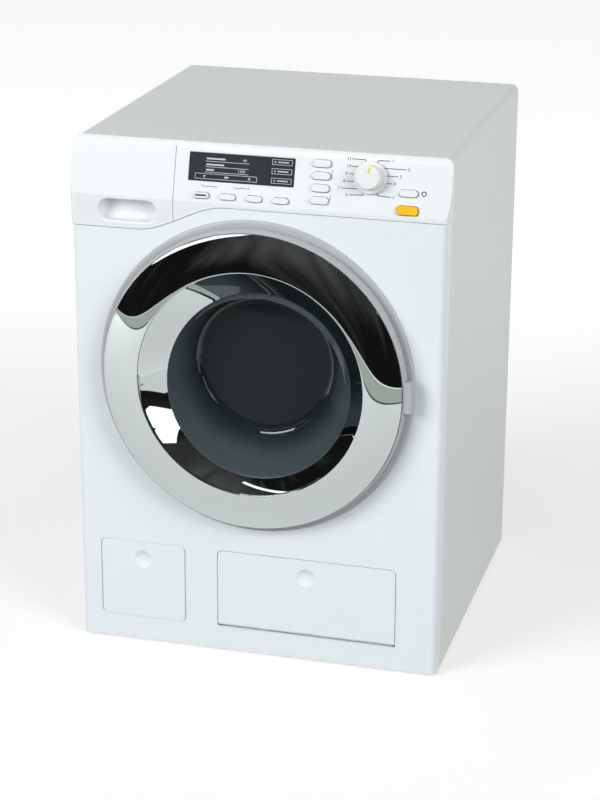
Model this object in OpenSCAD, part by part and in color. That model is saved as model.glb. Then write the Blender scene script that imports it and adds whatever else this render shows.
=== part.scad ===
// Toy front-loading washing machine: a white moulded casing with a turning drum, an opening door,
// a pull-out detergent drawer, a drop-down service flap, a dial and push buttons.
// Millimetres. +Z is up, the front faces -Y, and the origin is the middle of the footprint.

/* [Casing] */
// Width of the casing over its side walls
case_w = 184.4; // [180:1:205]
// Depth of the casing from its front panel to its rear rim, without the door
case_d = 180; // [174:1:205]
// Height of the whole machine, on its feet
case_h = 260; // [258:1:275]
// Thickness of the moulded casing walls
wall = 2.2; // [1.8:0.1:2.6]
// Radius of the long upper edges of the casing
top_edge_r = 4; // [3:0.5:6]
// Radius of the upright corners of the casing
corner_r = 3; // [2.8:0.2:5]
// Depth at which the front mouldings meet the cabinet
seam_y = 10; // [9.8:0.2:12]
// Visible gap between neighbouring mouldings
seam = 0.3; // [0.2:0.05:0.4]
// Height of the foot pads
foot_h = 1; // [0.8:0.2:3]
// Radius of the foot pads
foot_r = 8; // [5:1:12]
// Height of the rim that overhangs the back cover
rim_h = 12; // [8:1:14]
// How far that rim stands behind the back cover
rim_out = 2; // [1:0.5:3]
// Radius of the pilot holes for the screws
pilot_r = 1.35; // [1.2:0.05:1.6]
// Radius of the screw heads
screw_head_r = 2.8; // [2.4:0.1:3.2]

/* [Control fascia] */
// How far the fascia stands out past the casing at each side
fascia_step = 0.8; // [0.4:0.1:1.4]
// Height of the leaning part of the fascia, from its lower bend to the top of the machine
lean_h = 27; // [26.5:0.5:28]
// Lean of the upper part of the fascia, in degrees
slant = 16.3; // [14:0.1:18]
// Height of the sloping face, up to the chamfer
slant_h = 26; // [25.4:0.1:26.2]
// Depth of the chamfer that meets the top
chamfer_y = 9.6; // [9.4:0.1:9.8]
// Distance of the front panel's upper edge below that bend
edge_drop = 2.1; // [1.5:0.1:4]
// Distance of that edge below the bend under the drawer
drawer_drop = 15.7; // [14:0.1:18]
// Left end of the sweep between these two heights
sweep_x0 = -59; // [-62:1:-56]
// Right end of that sweep
sweep_x1 = -15; // [-20:1:-10]
// Place of the upright gap between the drawer and the fascia
drawer_gap_x = -40.7; // [-41:0.1:-40]

/* [Display and dial] */
// Width of the display window
display_w = 51.7; // [46:0.1:53]
// Height of the display window
display_h = 13.4; // [10:0.1:14]
// Middle of the display window, from the centre line
display_x = -7.95; // [-8.5:0.1:-7]
// Middle of the display window, up the sloping face
display_s = 16.9; // [16:0.1:17.5]
// Thickness of the display window
display_t = 1.2; // [0.8:0.1:1.4]
// Distance of the dial's middle from the middle of the door button
knob_gap = 18.4; // [18:0.1:19]
// Middle of the dial, up the sloping face
knob_s = 17.2; // [16.5:0.1:17.5]
// Radius of the dial's skirt
skirt_r = 7.8; // [7:0.1:8.2]
// Radius of the dial's grip
grip_r = 5.8; // [5:0.1:6.4]
// Height of the dial over the fascia
knob_h = 6.6; // [5:0.2:9]
// Radius of the dial's spindle
spindle_r = 2.5; // [2:0.1:2.8]

/* [Buttons] */
// Height of the caps over the fascia
cap_h = 1.3; // [1:0.1:2]
// Travel of the small buttons
press = 1; // [0.6:0.1:1.2]
// Width of the four buttons under the display
row_w = 7.8; // [6:0.1:8.4]
// Height of those buttons
row_h = 2.9; // [2.4:0.1:3.4]
// Spacing of those buttons
row_pitch = 12.97; // [12.4:0.01:13.2]
// Width of the four buttons in the column
col_w = 8.8; // [7:0.1:9.2]
// Height of those buttons
col_h = 3.55; // [3:0.05:3.6]
// Spacing of those buttons
col_pitch = 5.73; // [5.6:0.01:5.8]
// Place of the column, from the centre line
col_x = 30.9; // [30.5:0.1:31.5]
// Width of the single small button
single_w = 8.7; // [7:0.1:9.2]
// Width of the door button
door_button_w = 10.1; // [8:0.1:11]
// Height of the door button
door_button_h = 4.3; // [3.6:0.1:4.6]
// Travel of the door button and of the bar that it moves
door_press = 2; // [1.4:0.1:2.2]

/* [Door] */
// Distance between the casing's side and the raised seat round the door
seat_margin = 13.2; // [12.5:0.1:14]
// Distance between that seat and the front panel's upper edge
seat_top_gap = 4.6; // [3.6:0.1:6]
// Height of that seat over the panel
seat_h = 1.5; // [1:0.1:2]
// Width of the seat that shows round the door
seat_land = 3.2; // [2.8:0.1:4]
// Thickness of the door, from its back to the crown of its bright ring
door_t = 10.5; // [9.5:0.1:12]
// Width of the white edge round the bright ring
ring_inset = 1.5; // [1.3:0.1:2.2]
// Width of the bright ring, up to the lip where it turns inwards
ring_w = 17.8; // [17.3:0.1:18.8]
// How much narrower than that lip the window's rim is
funnel_w = 10.5; // [10:0.1:12.5]
// How far the window's middle lies below the door's middle
rim_drop = 4.3; // [3:0.1:4.5]
// Depth of the window's rim behind the panel's face
rim_y = 4; // [3.4:0.1:4.4]
// How far the window's collar stands in front of its flange
collar_h = 7.2; // [6.8:0.1:7.6]
// How far the collar's middle lies to the right of the door's
collar_x = 2; // [1:0.1:2.4]
// How far the collar leans back at its top, in degrees
collar_lean = 5; // [0:0.5:6]
// How much narrower than the window's rim the bowl's floor is
bowl_w = 13; // [11:0.5:16]
// How far the bowl's floor lies above the window's middle
bowl_rise = 6; // [4:0.5:6.5]
// Depth of the bowl's floor behind the panel's face
bowl_y = 18; // [14:0.5:19]
// Height of the finger grip at the door's free side
grip_h = 15.5; // [12:0.5:20]

/* [Drum and tub] */
// Gap between the door's tube and the opening that it reaches through
mouth_gap = 2.1; // [1.8:0.1:2.6]
// How far the tub's wall lies inside the door's seat
tub_margin = 13; // [12.7:0.1:13.5]
// Depth of the tub's front wall behind the panel's face
tub_y0 = 24; // [23:0.5:25]
// Room for the drive behind the tub
rear_room = 35.8; // [34:0.2:55]
// Gap between the drum and the tub's outer wall
drum_gap = 6; // [5:0.5:8]
// Wall of the drum
drum_wall = 1.6; // [1.2:0.1:2]
// Width of the lip round the drum's mouth
drum_lip = 7; // [6:0.5:10]
// Holes round the drum
drum_holes = 9; // [6:1:12]
// Radius of the steel drum shaft
shaft_r = 3; // [2.5:0.1:3.5]
// Running clearance of every shaft and pin in its hole
fit = 0.05; // [0.03:0.01:0.08]

/* [Drive] */
// Radius of the face that the belt runs on, on the drum pulley
drum_pulley_r = 32; // [28:1:34]
// Radius of that face on the small pulley
small_pulley_r = 8; // [7:0.5:9]
// Width of the flat rubber belt
belt_w = 4; // [3:0.5:5]
// Thickness of the belt
belt_t = 1.2; // [0.8:0.1:1.6]
// Distance of the small pulley from the side wall
drive_in = 32; // [28:1:34]
// Distance of the small pulley below the drum's middle
drive_drop = 59.3; // [57:0.1:61]
// Teeth on the drive gear
gear_teeth = 36; // [30:6:36]
// Teeth on the motor pinion
pinion_teeth = 12; // [12:1:14]
// Tooth size: pitch diameter over number of teeth
gear_module = 1; // [0.8:0.05:1.1]
// Radius of the motor's can
motor_r = 12; // [10:0.5:12]
// Length of the motor's can
motor_l = 30; // [24:1:36]

/* [Detergent drawer] */
// Travel of the drawer
drawer_travel = 50; // [40:1:52]
// Distance of the tray from the side wall
tray_side = 6; // [6:0.5:8]
// Distance of the tray from the upright gap beside the drawer
tray_gap = 6.3; // [5.8:0.1:7.3]
// Height of the tray's floor over the drawer's lower edge
tray_up = 4.7; // [4.2:0.1:5.1]
// Height of the tray's walls
tray_h = 23; // [18:1:30]
// Length of the tray that stays in its guide when the drawer is open
tray_keep = 12; // [9:1:16]
// Width of the finger scoop
scoop_w = 29.3; // [24:0.1:31]
// Height of the finger scoop
scoop_h = 10.3; // [8:0.1:11]
// Depth of the finger scoop
scoop_d = 7; // [5:0.5:7.5]

/* [Service flap] */
// Left edge of the flap's opening
flap_x0 = -20.4; // [-22:0.1:-18]
// Right edge of the flap's opening
flap_x1 = 71.4; // [68:0.1:73]
// Lower edge of the flap's opening
flap_z0 = 13; // [11:0.1:14]
// Distance between the flap's opening and the door's seat
flap_gap = 13.3; // [11:0.1:18]
// Thickness of the flap
flap_t = 2; // [1.8:0.1:2.1]
// Depth of the space behind the flap
recess_d = 26; // [16:1:34]

/* [Battery box] */
// Radius of one cell
cell_r = 13.1; // [12:0.1:13.2]
// Length of one cell
cell_l = 50; // [45:0.5:50]
// Wall of the battery box
box_wall = 1.6; // [1.2:0.1:2]

/* [Hidden] */
$fn = 64;

// Casing, worked out
half_w = case_w / 2;
inner_x = half_w - wall;
fascia_x = half_w + fascia_step;
door_out = seat_h + seam + door_t;
front_y = (door_out - case_d) / 2;
back_y = case_d - rim_out;
back_in = back_y - wall;
floor_top = foot_h + wall;
bend_z = case_h - lean_h;
panel_top = bend_z - edge_drop;
drawer_low = bend_z - drawer_drop;
slope_y = slant_h * sin(slant);
slope_z = bend_z + slant_h * cos(slant);
roof_z = case_h - wall;
part_gap = 0.35;
sweep_steps = 20;
arc_steps = 60;

// Controls, worked out
row_x = -26.7;
row_s = 3.4;
col_s = 5;
single_s = 11.2;
door_button_s = 3.3;
cap_gap = 0.25;
flange_out = 0.8;
flange_t = 1.1;
dome_h = 1.7;
mat_t = 0.8;
board_t = 1.5;
mat_back = -(wall + flange_t + press + 0.4 + dome_h + mat_t);
board_back = mat_back - board_t;
switch_r = 7;
switch_t = 6.5;
post_r = 2.4;
board_x0 = drawer_gap_x + wall + 1;
board_x1 = inner_x - 2;
board_s0 = 1;
board_s1 = 22.5;
door_rod_l = 16;

// Door, worked out. Heights here are distances in front of the panel's face.
seat_r = half_w - seat_margin;
door_r = seat_r - seat_land;
ring_r = door_r - ring_inset;
lip_r = ring_r - ring_w;
rim_r = lip_r - funnel_w;
bowl_r = rim_r - bowl_w;
door_z = panel_top - seat_r - seat_top_gap;
tube_in = 19.1;
tube_r = ring_r - tube_in;
mouth_r = tube_r + mouth_gap;
tub_r = seat_r - tub_margin;
door_back = seat_h + seam;
crown_h = door_out;
ring_rise = 3.8;
lip_h = crown_h;
ring_edge_h = crown_h - ring_rise;
plate_t = 2;
tube_wall = 1.4;
skin = 1.6;
funnel_t = 0.8;
window_z = door_z - rim_drop;
collar_y = collar_h - rim_y;
collar_rise = 1.6;
collar_z = window_z + collar_rise;
bowl_z = window_z + bowl_rise;
window_flange = 3.2;

// Hinge, worked out: the arm is a ring sector round the pin, so it swings through its own slot
pin_r = 1.5;
pin_in = 6;
pin_x = -inner_x + pin_in;
pin_y = 6;
arm_in = 11.6;
arm_out = 14.6;
arm_t = 12;
arm_boss_r = 2.5;
arm_arc_w = 3;
ear_t = 3.6;
hinge_slot_x0 = pin_x + 8;
hinge_slot_x1 = pin_x + arm_out + 0.5;

// Clamp of the window and the bright ring, worked out
clamp_t = 1.6;
clamp_h0 = -rim_y - skin - 0.2 - clamp_t;
clamp_angles = [30, 90, 150];
clamp_screw_r = tube_r - tube_wall - 2;
ring_steps = 16;
ring_bulge = 0.9;
function ring_point(t, thick) = [
    ring_r + (lip_r - ring_r) * t,
    ring_edge_h + (lip_h - ring_edge_h) * t + 4 * ring_bulge * t * (1 - t) + thick,
];

// Latch, worked out
hook_x0 = door_r - 7.3;
hook_x1 = hook_x0 + 2.8;
hook_t = 8;
hook_y = 10;
bar_x = hook_x1 + 1.7;
bar_w = 4;
bar_t = 3;
bar_y = 14;
bar_z0 = door_z + hook_t / 2 + 0.9 + door_press;
bar_z1 = bend_z - 4.4;
guide_z = [door_z + 26.7, bend_z - 21];

// Drum, worked out
drum_r = tub_r - drum_gap;
drum_mouth_r = drum_r - drum_lip;
tub_y1 = back_in - rear_room;
mouth_wall = 2;
tub_wall = 2;
drum_y0 = tub_y0 + 4;
drum_y1 = tub_y1 - 6;
hub_r = 10;
hub_t = 8;
bush_r = 6;
bush_y1 = tub_y1 + 9;
pulley_y = tub_y1 + 16;
pulley_flange = 1.2;
pulley_w = belt_w + 2 * pulley_flange + 0.6;
shaft_y1 = pulley_y + pulley_w / 2 + 2;

drum_hole_r = 1.6;
lifter_r = drum_r - 13;
lifter_l = drum_y1 - drum_y0 - 14;

// Drive, worked out
drive_x = inner_x - drive_in;
drive_z = door_z - drive_drop;
gear_w = 6;
gear_r = gear_module * gear_teeth / 2;
pinion_r = gear_module * pinion_teeth / 2;
gear_y = tub_y1 + 7.5;
motor_z = drive_z - gear_r - pinion_r;
gear_plate_y = gear_y - gear_w / 2 - 4;
gear_plate_t = 2.5;
plate_foot_l = 16;
plate_over = 10;
plate_under = 2;
counter_r = 2;
tooth_share = [-0.66, -0.2, 0.2, 0.66];
tooth_reach = [-1.2, 0.9, 0.9, -1.2];
motor_shaft_r = 1;

// Belt, worked out from the two pulleys
belt_dx = -drive_x;
belt_dz = door_z - drive_z;
belt_span = sqrt(belt_dx * belt_dx + belt_dz * belt_dz);
belt_turn = atan2(-belt_dx, belt_dz);
belt_lean = asin((drum_pulley_r - small_pulley_r) / belt_span);

// Battery box, worked out
contact_t = 0.6;
contact_half = 8;
box_l = 2 * cell_l + 4 * contact_t + 1;
box_in = 11;
box_x0 = -inner_x + box_in;
box_x1 = box_x0 + box_l + 2 * box_wall;
box_y0 = back_in - 2 * cell_r - 0.6 - box_wall;
box_h = 4 * cell_r + 2 * box_wall + 3;
box_z1 = floor_top + box_h;
cell_y = back_in - cell_r - 0.3;
cell_z = [floor_top + box_wall + cell_r + 0.4, floor_top + box_wall + 3 * cell_r + 1.6];
hatch_x0 = box_x0 + 5;
hatch_x1 = box_x1 - 5;
hatch_z0 = floor_top + 2.5;
hatch_z1 = box_z1 + 3;
ledge = 2.5;
hatch_screw_z = hatch_z1 - 5;

// Screws, worked out
screw_x = inner_x - 5;
screw_z = [20, case_h - 28];
screw_l = 12;

// Buttons, worked out: place across, place up the slope, width, height, and the corners' radius,
// which is 0 where the ends are round
single_h = 3.4;
door_corner_r = 1.5;
single_x = bar_x;
knob_x = single_x - knob_gap;
buttons = concat(
    [for (i = [0 : 3]) [row_x + i * row_pitch, row_s, row_w, row_h, 0]],
    [for (i = [0 : 3]) [col_x, col_s + (3 - i) * col_pitch, col_w, col_h, 0]],
    [[single_x, single_s, single_w, single_h, 0]],
    [[single_x, door_button_s, door_button_w, door_button_h, door_corner_r]]);
door_rod_r = 1.9;
door_rod_hole_r = 2.4;

// Drawer, worked out
scoop_x = drawer_gap_x - 23;
scoop_z = drawer_low + 8.8;
tray_x0 = -inner_x + tray_side;
tray_x1 = drawer_gap_x - tray_gap;
tray_z = drawer_low + tray_up;
scoop_back = scoop_d + skin;
tray_split = tray_x0 + (tray_x1 - tray_x0) * 0.6;
tray_d = drawer_travel + tray_keep;

// Flap, outline of the second cover, worked out
flap_z1 = door_z - seat_r - flap_gap;
flap_axis_y = 1.8;
flap_axis_z = flap_z0 + 2.2;
flap_pin_r = 0.9;
flap_barrel_r = 1.6;
flap_pin_l = 2.4;
flap_low_r = 0.8;
groove_d = 0.6;
groove_w = 0.6;
cover_in = 10.4;
cover_x0 = -half_w + cover_in;
cover_x1 = -36.9;
dimple_ball = 10;
dimple_out = 8.8;
dimple_z = flap_z1 - 9.8;

// Speaker, worked out
speaker_x = 50;
speaker_drop = 52;
speaker_z = case_h - speaker_drop;
speaker_r = 14;
speaker_t = 5;

// Height of the fascia's lower edge at x: a smooth sweep from the drawer up to the panel's top
function ease(t) = t <= 0 ? 0 : t >= 1 ? 1 : t * t * (3 - 2 * t);
function edge_z(x) = drawer_low + (panel_top - drawer_low) * ease((x - sweep_x0) / (sweep_x1 - sweep_x0));
function sweep(x0, x1, up) = [for (i = [0 : sweep_steps])
    let (x = x0 + (x1 - x0) * i / sweep_steps) [x, edge_z(x) + up]];

// Points along an arc whose centre lies at height z, from angle a0 to a1
function arc(z, r, a0, a1) = [for (i = [0 : arc_steps])
    let (a = a0 + (a1 - a0) * i / arc_steps) [r * cos(a), z + r * sin(a)]];

// Moves a piece from the panel's frame (y = 0 on the panel's face) to the part's origin
module placed() { translate([0, front_y, 0]) children(); }

// Gives an outline drawn in x and z a depth from y0 to y1
module along_y(y0, y1) { translate([0, y1, 0]) rotate([90, 0, 0]) linear_extrude(y1 - y0) children(); }

// Carries an outline drawn in y and z across the machine from x0 to x1
module along_x(x0, x1) { translate([x0, 0, 0]) rotate([90, 0, 90]) linear_extrude(x1 - x0) children(); }

// Turns a piece so that its own z axis points out of the front, at x and z on the panel
module out_at(x, z) { translate([x, 0, z]) rotate([90, 0, 0]) children(); }

// The same on the sloping face: s is the distance up the slope from the bend
module on_fascia(x, s) {
    translate([x, 0, bend_z]) rotate([90 - slant, 0, 0]) translate([0, s, 0]) children();
}

// A rectangle with round corners, centred
module rounded(w, h, r) {
    square([w - 2 * r, h], center = true);
    square([w, h - 2 * r], center = true);
    for (sx = [-1, 1], sy = [-1, 1]) translate([sx * (w / 2 - r), sy * (h / 2 - r)]) circle(r);
}

// A rectangle with round corners between two opposite corners
module rounded_box(x0, z0, x1, z1, r) {
    translate([(x0 + x1) / 2, (z0 + z1) / 2]) rounded(x1 - x0, z1 - z0, r);
}

// A pill-shaped outline with round ends, centred
module pill(w, h) {
    square([w - h, h], center = true);
    for (sx = [-1, 1]) translate([sx * (w - h) / 2, 0]) circle(h / 2);
}

// A plain box between two opposite corners
module box(p0, p1) { translate(p0) cube(p1 - p0); }

// A tube or ring round the door's axis, from height h0 to h1 in front of the panel
module ring(r0, r1, h0, h1) {
    translate([0, 0, h0]) difference() {
        cylinder(r = r1, h = h1 - h0, $fn = 96);
        translate([0, 0, -1]) cylinder(r = r0, h = h1 - h0 + 2, $fn = 96);
    }
}

// A disc or shaft along y, from y0 to y1
module rod(x, z, r, y0, y1) { translate([x, y1, z]) rotate([90, 0, 0]) cylinder(r = r, h = y1 - y0); }

// Front view of the casing: square below, round above
module gable(w, z0, z1, r) {
    translate([-w / 2, z0]) square([w, z1 - z0 - r]);
    translate([-w / 2 + r, z0]) square([w - 2 * r, z1 - z0]);
    for (sx = [-1, 1]) translate([sx * (w / 2 - r), z1 - r]) circle(r);
}

// Plan view of a casing part whose front or rear corners are round
module plan(w, y0, y1, front_r, rear_r) {
    translate([-w / 2, y0 + front_r]) square([w, y1 - y0 - front_r - rear_r]);
    if (front_r > 0) {
        translate([-w / 2 + front_r, y0]) square([w - 2 * front_r, 2 * front_r]);
        for (sx = [-1, 1]) translate([sx * (w / 2 - front_r), y0 + front_r]) circle(front_r);
    }
    if (rear_r > 0) {
        translate([-w / 2 + rear_r, y1 - 2 * rear_r]) square([w - 2 * rear_r, 2 * rear_r]);
        for (sx = [-1, 1]) translate([sx * (w / 2 - rear_r), y1 - rear_r]) circle(rear_r);
    }
}

// Side view of the fascia: upright, then leaning back, then a chamfer up to the top
module fascia_side() {
    polygon([
        [0, drawer_low - 20], [0, bend_z], [slope_y, slope_z], [chamfer_y, case_h],
        [seam_y - 0.1, case_h], [seam_y - 0.1, drawer_low - 20],
    ]);
}

// The space inside the fascia's skin
module fascia_inside() {
    slope_back = wall / cos(slant);
    polygon([
        [wall, drawer_low - 21], [wall, bend_z + (wall - slope_back) / tan(slant)],
        [slope_back + (roof_z - bend_z) * tan(slant), roof_z],
        [seam_y + 20, roof_z], [seam_y + 20, drawer_low - 21],
    ]);
}

// ---------------------------------------------------------------- casing

// Two side walls and the top in one moulding, with a rim at the rear and four screw posts
module cabinet() color("white") placed() {
    difference() {
        intersection() {
            union() {
                along_y(seam_y + 0.1, back_y) gable(case_w, foot_h, case_h, top_edge_r);
                along_y(back_y - 1, case_d) intersection() {
                    gable(case_w, foot_h, case_h, top_edge_r);
                    translate([-half_w, case_h - rim_h]) square([case_w, rim_h]);
                }
            }
            translate([0, 0, -1]) linear_extrude(case_h + 2) plan(case_w, -corner_r, case_d, 0, corner_r);
        }
        along_y(seam_y - 1, back_y) gable(case_w - 2 * wall, foot_h - 1, roof_z, top_edge_r - wall + 0.4);
    }
    for (sx = [-1, 1], z = screw_z) difference() {
        union() {
            rod(sx * screw_x, z, 4, back_in - screw_l - 4, back_in);
            box([sx > 0 ? screw_x : -inner_x - wall / 2, back_in - screw_l - 4, z - 2],
                [sx > 0 ? inner_x + wall / 2 : -screw_x, back_in, z + 2]);
        }
        rod(sx * screw_x, z, pilot_r, back_in - screw_l, back_in + 1);
    }
}

// The lower front: a tray with the door's raised seat, slots for hinge and hook, the flap's
// opening with its pivot bosses, a moulded outline of a second cover, and two bar guides
module front_panel() color("whitesmoke") placed() {
    difference() {
        union() {
            difference() {
                intersection() {
                    along_y(0, seam_y - 0.1) polygon(concat(
                        [[-half_w, foot_h], [half_w, foot_h], [half_w, panel_top]],
                        sweep(sweep_x1, sweep_x0, 0), [[-half_w, drawer_low]]));
                    linear_extrude(case_h) plan(case_w, 0, seam_y + 5, corner_r, 0);
                }
                along_y(wall, seam_y) polygon([
                    [-inner_x, floor_top], [inner_x, floor_top],
                    [inner_x, case_h], [-inner_x, case_h]]);
            }
            out_at(0, door_z) cylinder(r = seat_r - seat_h, h = seat_h, $fn = 96);
            out_at(0, door_z) rotate_extrude($fn = 96) intersection() {
                translate([seat_r - seat_h, 0]) circle(seat_h);
                square([seat_r, seat_h]);
            }
            box([flap_x1 + part_gap, 0.5, flap_z0 - 1], [flap_x1 + 4, 4.6, flap_z0 + 5]);
            box([flap_x0 - 4, 0.5, flap_z0 - 1], [flap_x0 - part_gap, 4.6, flap_z0 + 5]);
            box([sweep_x1 + 6, wall, panel_top - 6], [inner_x - 6, wall + 1.4, bend_z - 1.2]);
            for (z = guide_z) box([bar_x - 4, wall - 0.5, z], [bar_x + 4, bar_y + bar_t / 2 + 1.8, z + 5]);
        }
        out_at(0, door_z) translate([0, 0, -wall - 1]) cylinder(r = mouth_r, h = 10, $fn = 96);
        box([hinge_slot_x0, -5, door_z - arm_t / 2 - 0.8], [hinge_slot_x1, 5, door_z + arm_t / 2 + 0.8]);
        box([hook_x0 - 1, -5, door_z - hook_t / 2 - 0.8], [hook_x1 + 1.2, 5, door_z + hook_t / 2 + 0.8]);
        along_y(-1, wall + 1) {
            rounded_box(flap_x0, flap_z0, flap_x1, flap_z1, corner_r);
            rounded_box(flap_x0, flap_z0, flap_x1, flap_z1 - 8, flap_low_r);
        }
        along_x(flap_x0 - flap_pin_l - 0.4, flap_x1 + flap_pin_l + 0.4)
            translate([flap_axis_y, flap_axis_z]) circle(flap_pin_r + fit);
        along_y(-1, groove_d) difference() {
            rounded_box(cover_x0, flap_z0, cover_x1, flap_z1, corner_r);
            rounded_box(cover_x0 + groove_w, flap_z0 + groove_w, cover_x1 - groove_w, flap_z1 - groove_w,
                corner_r - groove_w);
        }
        translate([(cover_x0 + cover_x1) / 2, -dimple_out, dimple_z]) sphere(dimple_ball);
        for (z = guide_z) box([bar_x - bar_w / 2 - 0.3, bar_y - bar_t / 2 - 0.3, z - 1],
            [bar_x + bar_w / 2 + 0.3, bar_y + bar_t / 2 + 0.3, z + 6]);
    }
}

// The upper front with every opening for display, buttons and dial, and posts for the board
module control_fascia() color("white") placed() {
    difference() {
        union() {
            difference() {
                intersection() {
                    along_x(-fascia_x, fascia_x) fascia_side();
                    along_y(-1, seam_y + 5) union() {
                        intersection() {
                            gable(2 * fascia_x, drawer_low - 5, case_h, top_edge_r);
                            polygon(concat(
                                [[fascia_x, panel_top + seam], [fascia_x, case_h + 1],
                                    [drawer_gap_x + seam / 2, case_h + 1]],
                                sweep(drawer_gap_x + seam / 2, sweep_x1, seam)));
                        }
                        intersection() {
                            gable(2 * fascia_x, drawer_low - 5, case_h, top_edge_r);
                            translate([-fascia_x, slope_z]) square([fascia_x, case_h]);
                        }
                    }
                    linear_extrude(case_h + 1) plan(2 * fascia_x, 0, seam_y + 5, corner_r, 0);
                }
                along_x(drawer_gap_x + seam / 2 + wall, fascia_x - wall) fascia_inside();
            }
            box([drawer_gap_x + 1, chamfer_y - 2, roof_z - 1.6], [inner_x - 14, seam_y + 6, roof_z]);
            for (x = [board_x0 + 2.6, board_x1 - 3], s = [4, board_s1 - 3.6])
                on_fascia(x, s) translate([0, 0, board_back + board_t])
                    cylinder(r = post_r, h = -board_back - board_t - 1);
        }
        on_fascia(display_x, display_s) translate([0, 0, -display_t - 0.1])
            linear_extrude(5) square([display_w + 0.3, display_h + 0.3], center = true);
        on_fascia(knob_x, knob_s) translate([0, 0, -9]) cylinder(r = spindle_r + fit, h = 12);
        for (b = buttons) on_fascia(b[0], b[1]) translate([0, 0, -wall - 3]) linear_extrude(8)
            button_outline(b, cap_gap);
    }
}

// The back: a flat cover with a battery opening, sound slots and screw holes
module back_cover() color("gainsboro") placed() {
    difference() {
        box([-inner_x, back_in, floor_top], [inner_x, back_y, case_h - rim_h]);
        along_y(back_in - 1, back_in + 2) rounded_box(hatch_x0 + ledge, hatch_z0 + ledge,
            hatch_x1 - ledge, hatch_z1 - ledge - 7, 2);
        along_y(back_in + wall / 2, back_y + 1) rounded_box(hatch_x0, hatch_z0, hatch_x1, hatch_z1, 2.5);
        rod((hatch_x0 + hatch_x1) / 2, hatch_screw_z, pilot_r, back_in - 1, back_y);
        for (sx = [-1, 1], z = screw_z) {
            rod(sx * screw_x, z, pilot_r + 0.25, back_in - 1, back_y + 1);
            rod(sx * screw_x, z, screw_head_r + 0.3, back_y - 1.2, back_y + 1);
        }
        for (i = [-3 : 3]) along_y(back_in - 1, back_y + 1) translate([speaker_x, speaker_z + i * 3.4])
            pill(2 * sqrt(pow(speaker_r - 2, 2) - pow(i * 3.4, 2)), 1.6);
    }
}

// The floor of the casing
module base_plate() color("whitesmoke") placed() {
    box([-inner_x, seam_y - 0.1, foot_h], [inner_x, back_y, floor_top]);
}

// Four soft pads under the floor
module foot_pads() color("dimgray") placed() {
    for (sx = [-1, 1], y = [seam_y + foot_r + 8, back_y - foot_r - 8])
        translate([sx * (inner_x - foot_r - 6), y, 0]) cylinder(r = foot_r, h = foot_h);
}

// Self-tapping screws of the back cover and the battery cover
module cover_screws() color("silver") placed() {
    for (sx = [-1, 1], z = screw_z) {
        rod(sx * screw_x, z, pilot_r - fit, back_in - screw_l + 2, back_y - 1.1);
        rod(sx * screw_x, z, screw_head_r, back_y - 1.2, back_y);
    }
    rod((hatch_x0 + hatch_x1) / 2, hatch_screw_z, pilot_r - fit, back_in, back_y - 0.5);
    rod((hatch_x0 + hatch_x1) / 2, hatch_screw_z, screw_head_r - 0.2, back_y - 0.6, back_y);
}

// ---------------------------------------------------------------- fixed pieces inside

// Outline of one button, grown by some gap: the door button is a rectangle, the others are pills
module button_outline(b, grow) {
    if (b[4] > 0) rounded(b[2] + 2 * grow, b[3] + 2 * grow, b[4] + grow);
    else pill(b[2] + 2 * grow, b[3] + 2 * grow);
}

// Dark window of the display, set in its pocket
module display_window() color([0.16, 0.17, 0.18]) placed() on_fascia(display_x, display_s)
    translate([0, 0, -display_t - 0.1]) linear_extrude(display_t)
        square([display_w, display_h], center = true);

// Circuit board behind the buttons
module circuit_board() color("darkgreen") placed() difference() {
    on_fascia(0, 0) translate([board_x0, board_s0, board_back])
        cube([board_x1 - board_x0, board_s1 - board_s0, board_t]);
    on_fascia(knob_x, knob_s) translate([0, 0, board_back - 1]) cylinder(r = spindle_r + 1, h = board_t + 2);
    on_fascia(single_x, door_button_s) translate([0, 0, board_back - 1])
        cylinder(r = door_rod_hole_r, h = board_t + 2);
}

// Rubber mat with a dome behind each small button
module keypad_mat() color("lightgray") placed() {
    difference() {
        on_fascia(0, 0) translate([board_x0 + 6, board_s0 + 0.5, mat_back])
            cube([single_x + 7 - board_x0 - 6, board_s1 - board_s0 - 1, mat_t]);
        on_fascia(knob_x, knob_s) translate([0, 0, mat_back - 1]) cylinder(r = 9, h = mat_t + 2);
        on_fascia(single_x, door_button_s) translate([0, 0, mat_back - 1])
            cylinder(r = door_rod_hole_r, h = mat_t + 2);
    }
    for (b = buttons) if (b[4] == 0)
        on_fascia(b[0], b[1]) translate([0, 0, mat_back + mat_t]) cylinder(r1 = 2, r2 = 1.2, h = dome_h);
}

// Rotary switch that the dial's spindle turns in
module program_switch() color("black") placed() on_fascia(knob_x, knob_s) difference() {
    translate([0, 0, board_back - switch_t]) cylinder(r = switch_r, h = switch_t);
    translate([0, 0, board_back - switch_t + 1.5]) cylinder(r = spindle_r + fit, h = switch_t);
}

// Open channel that the drawer's tray slides in, hung from the roof
module drawer_guide() color("gainsboro") placed() {
    gx0 = tray_x0 - 0.5;
    gx1 = tray_x1 + 0.5;
    gy0 = seam_y + 4;
    gy1 = seam_y + tray_d + 3;
    box([gx0 - skin, gy0, tray_z - 0.5 - skin], [gx1 + skin, gy1, tray_z - 0.5]);
    box([gx0 - skin, gy0, tray_z - 0.6], [gx0, gy1, roof_z]);
    box([gx1, gy0, tray_z - 0.6], [gx1 + skin, gy1, roof_z]);
    box([gx0 - skin, gy1 - 0.1, tray_z - 0.5 - skin], [gx1 + skin, gy1 + skin, tray_z + tray_h]);
}

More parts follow.
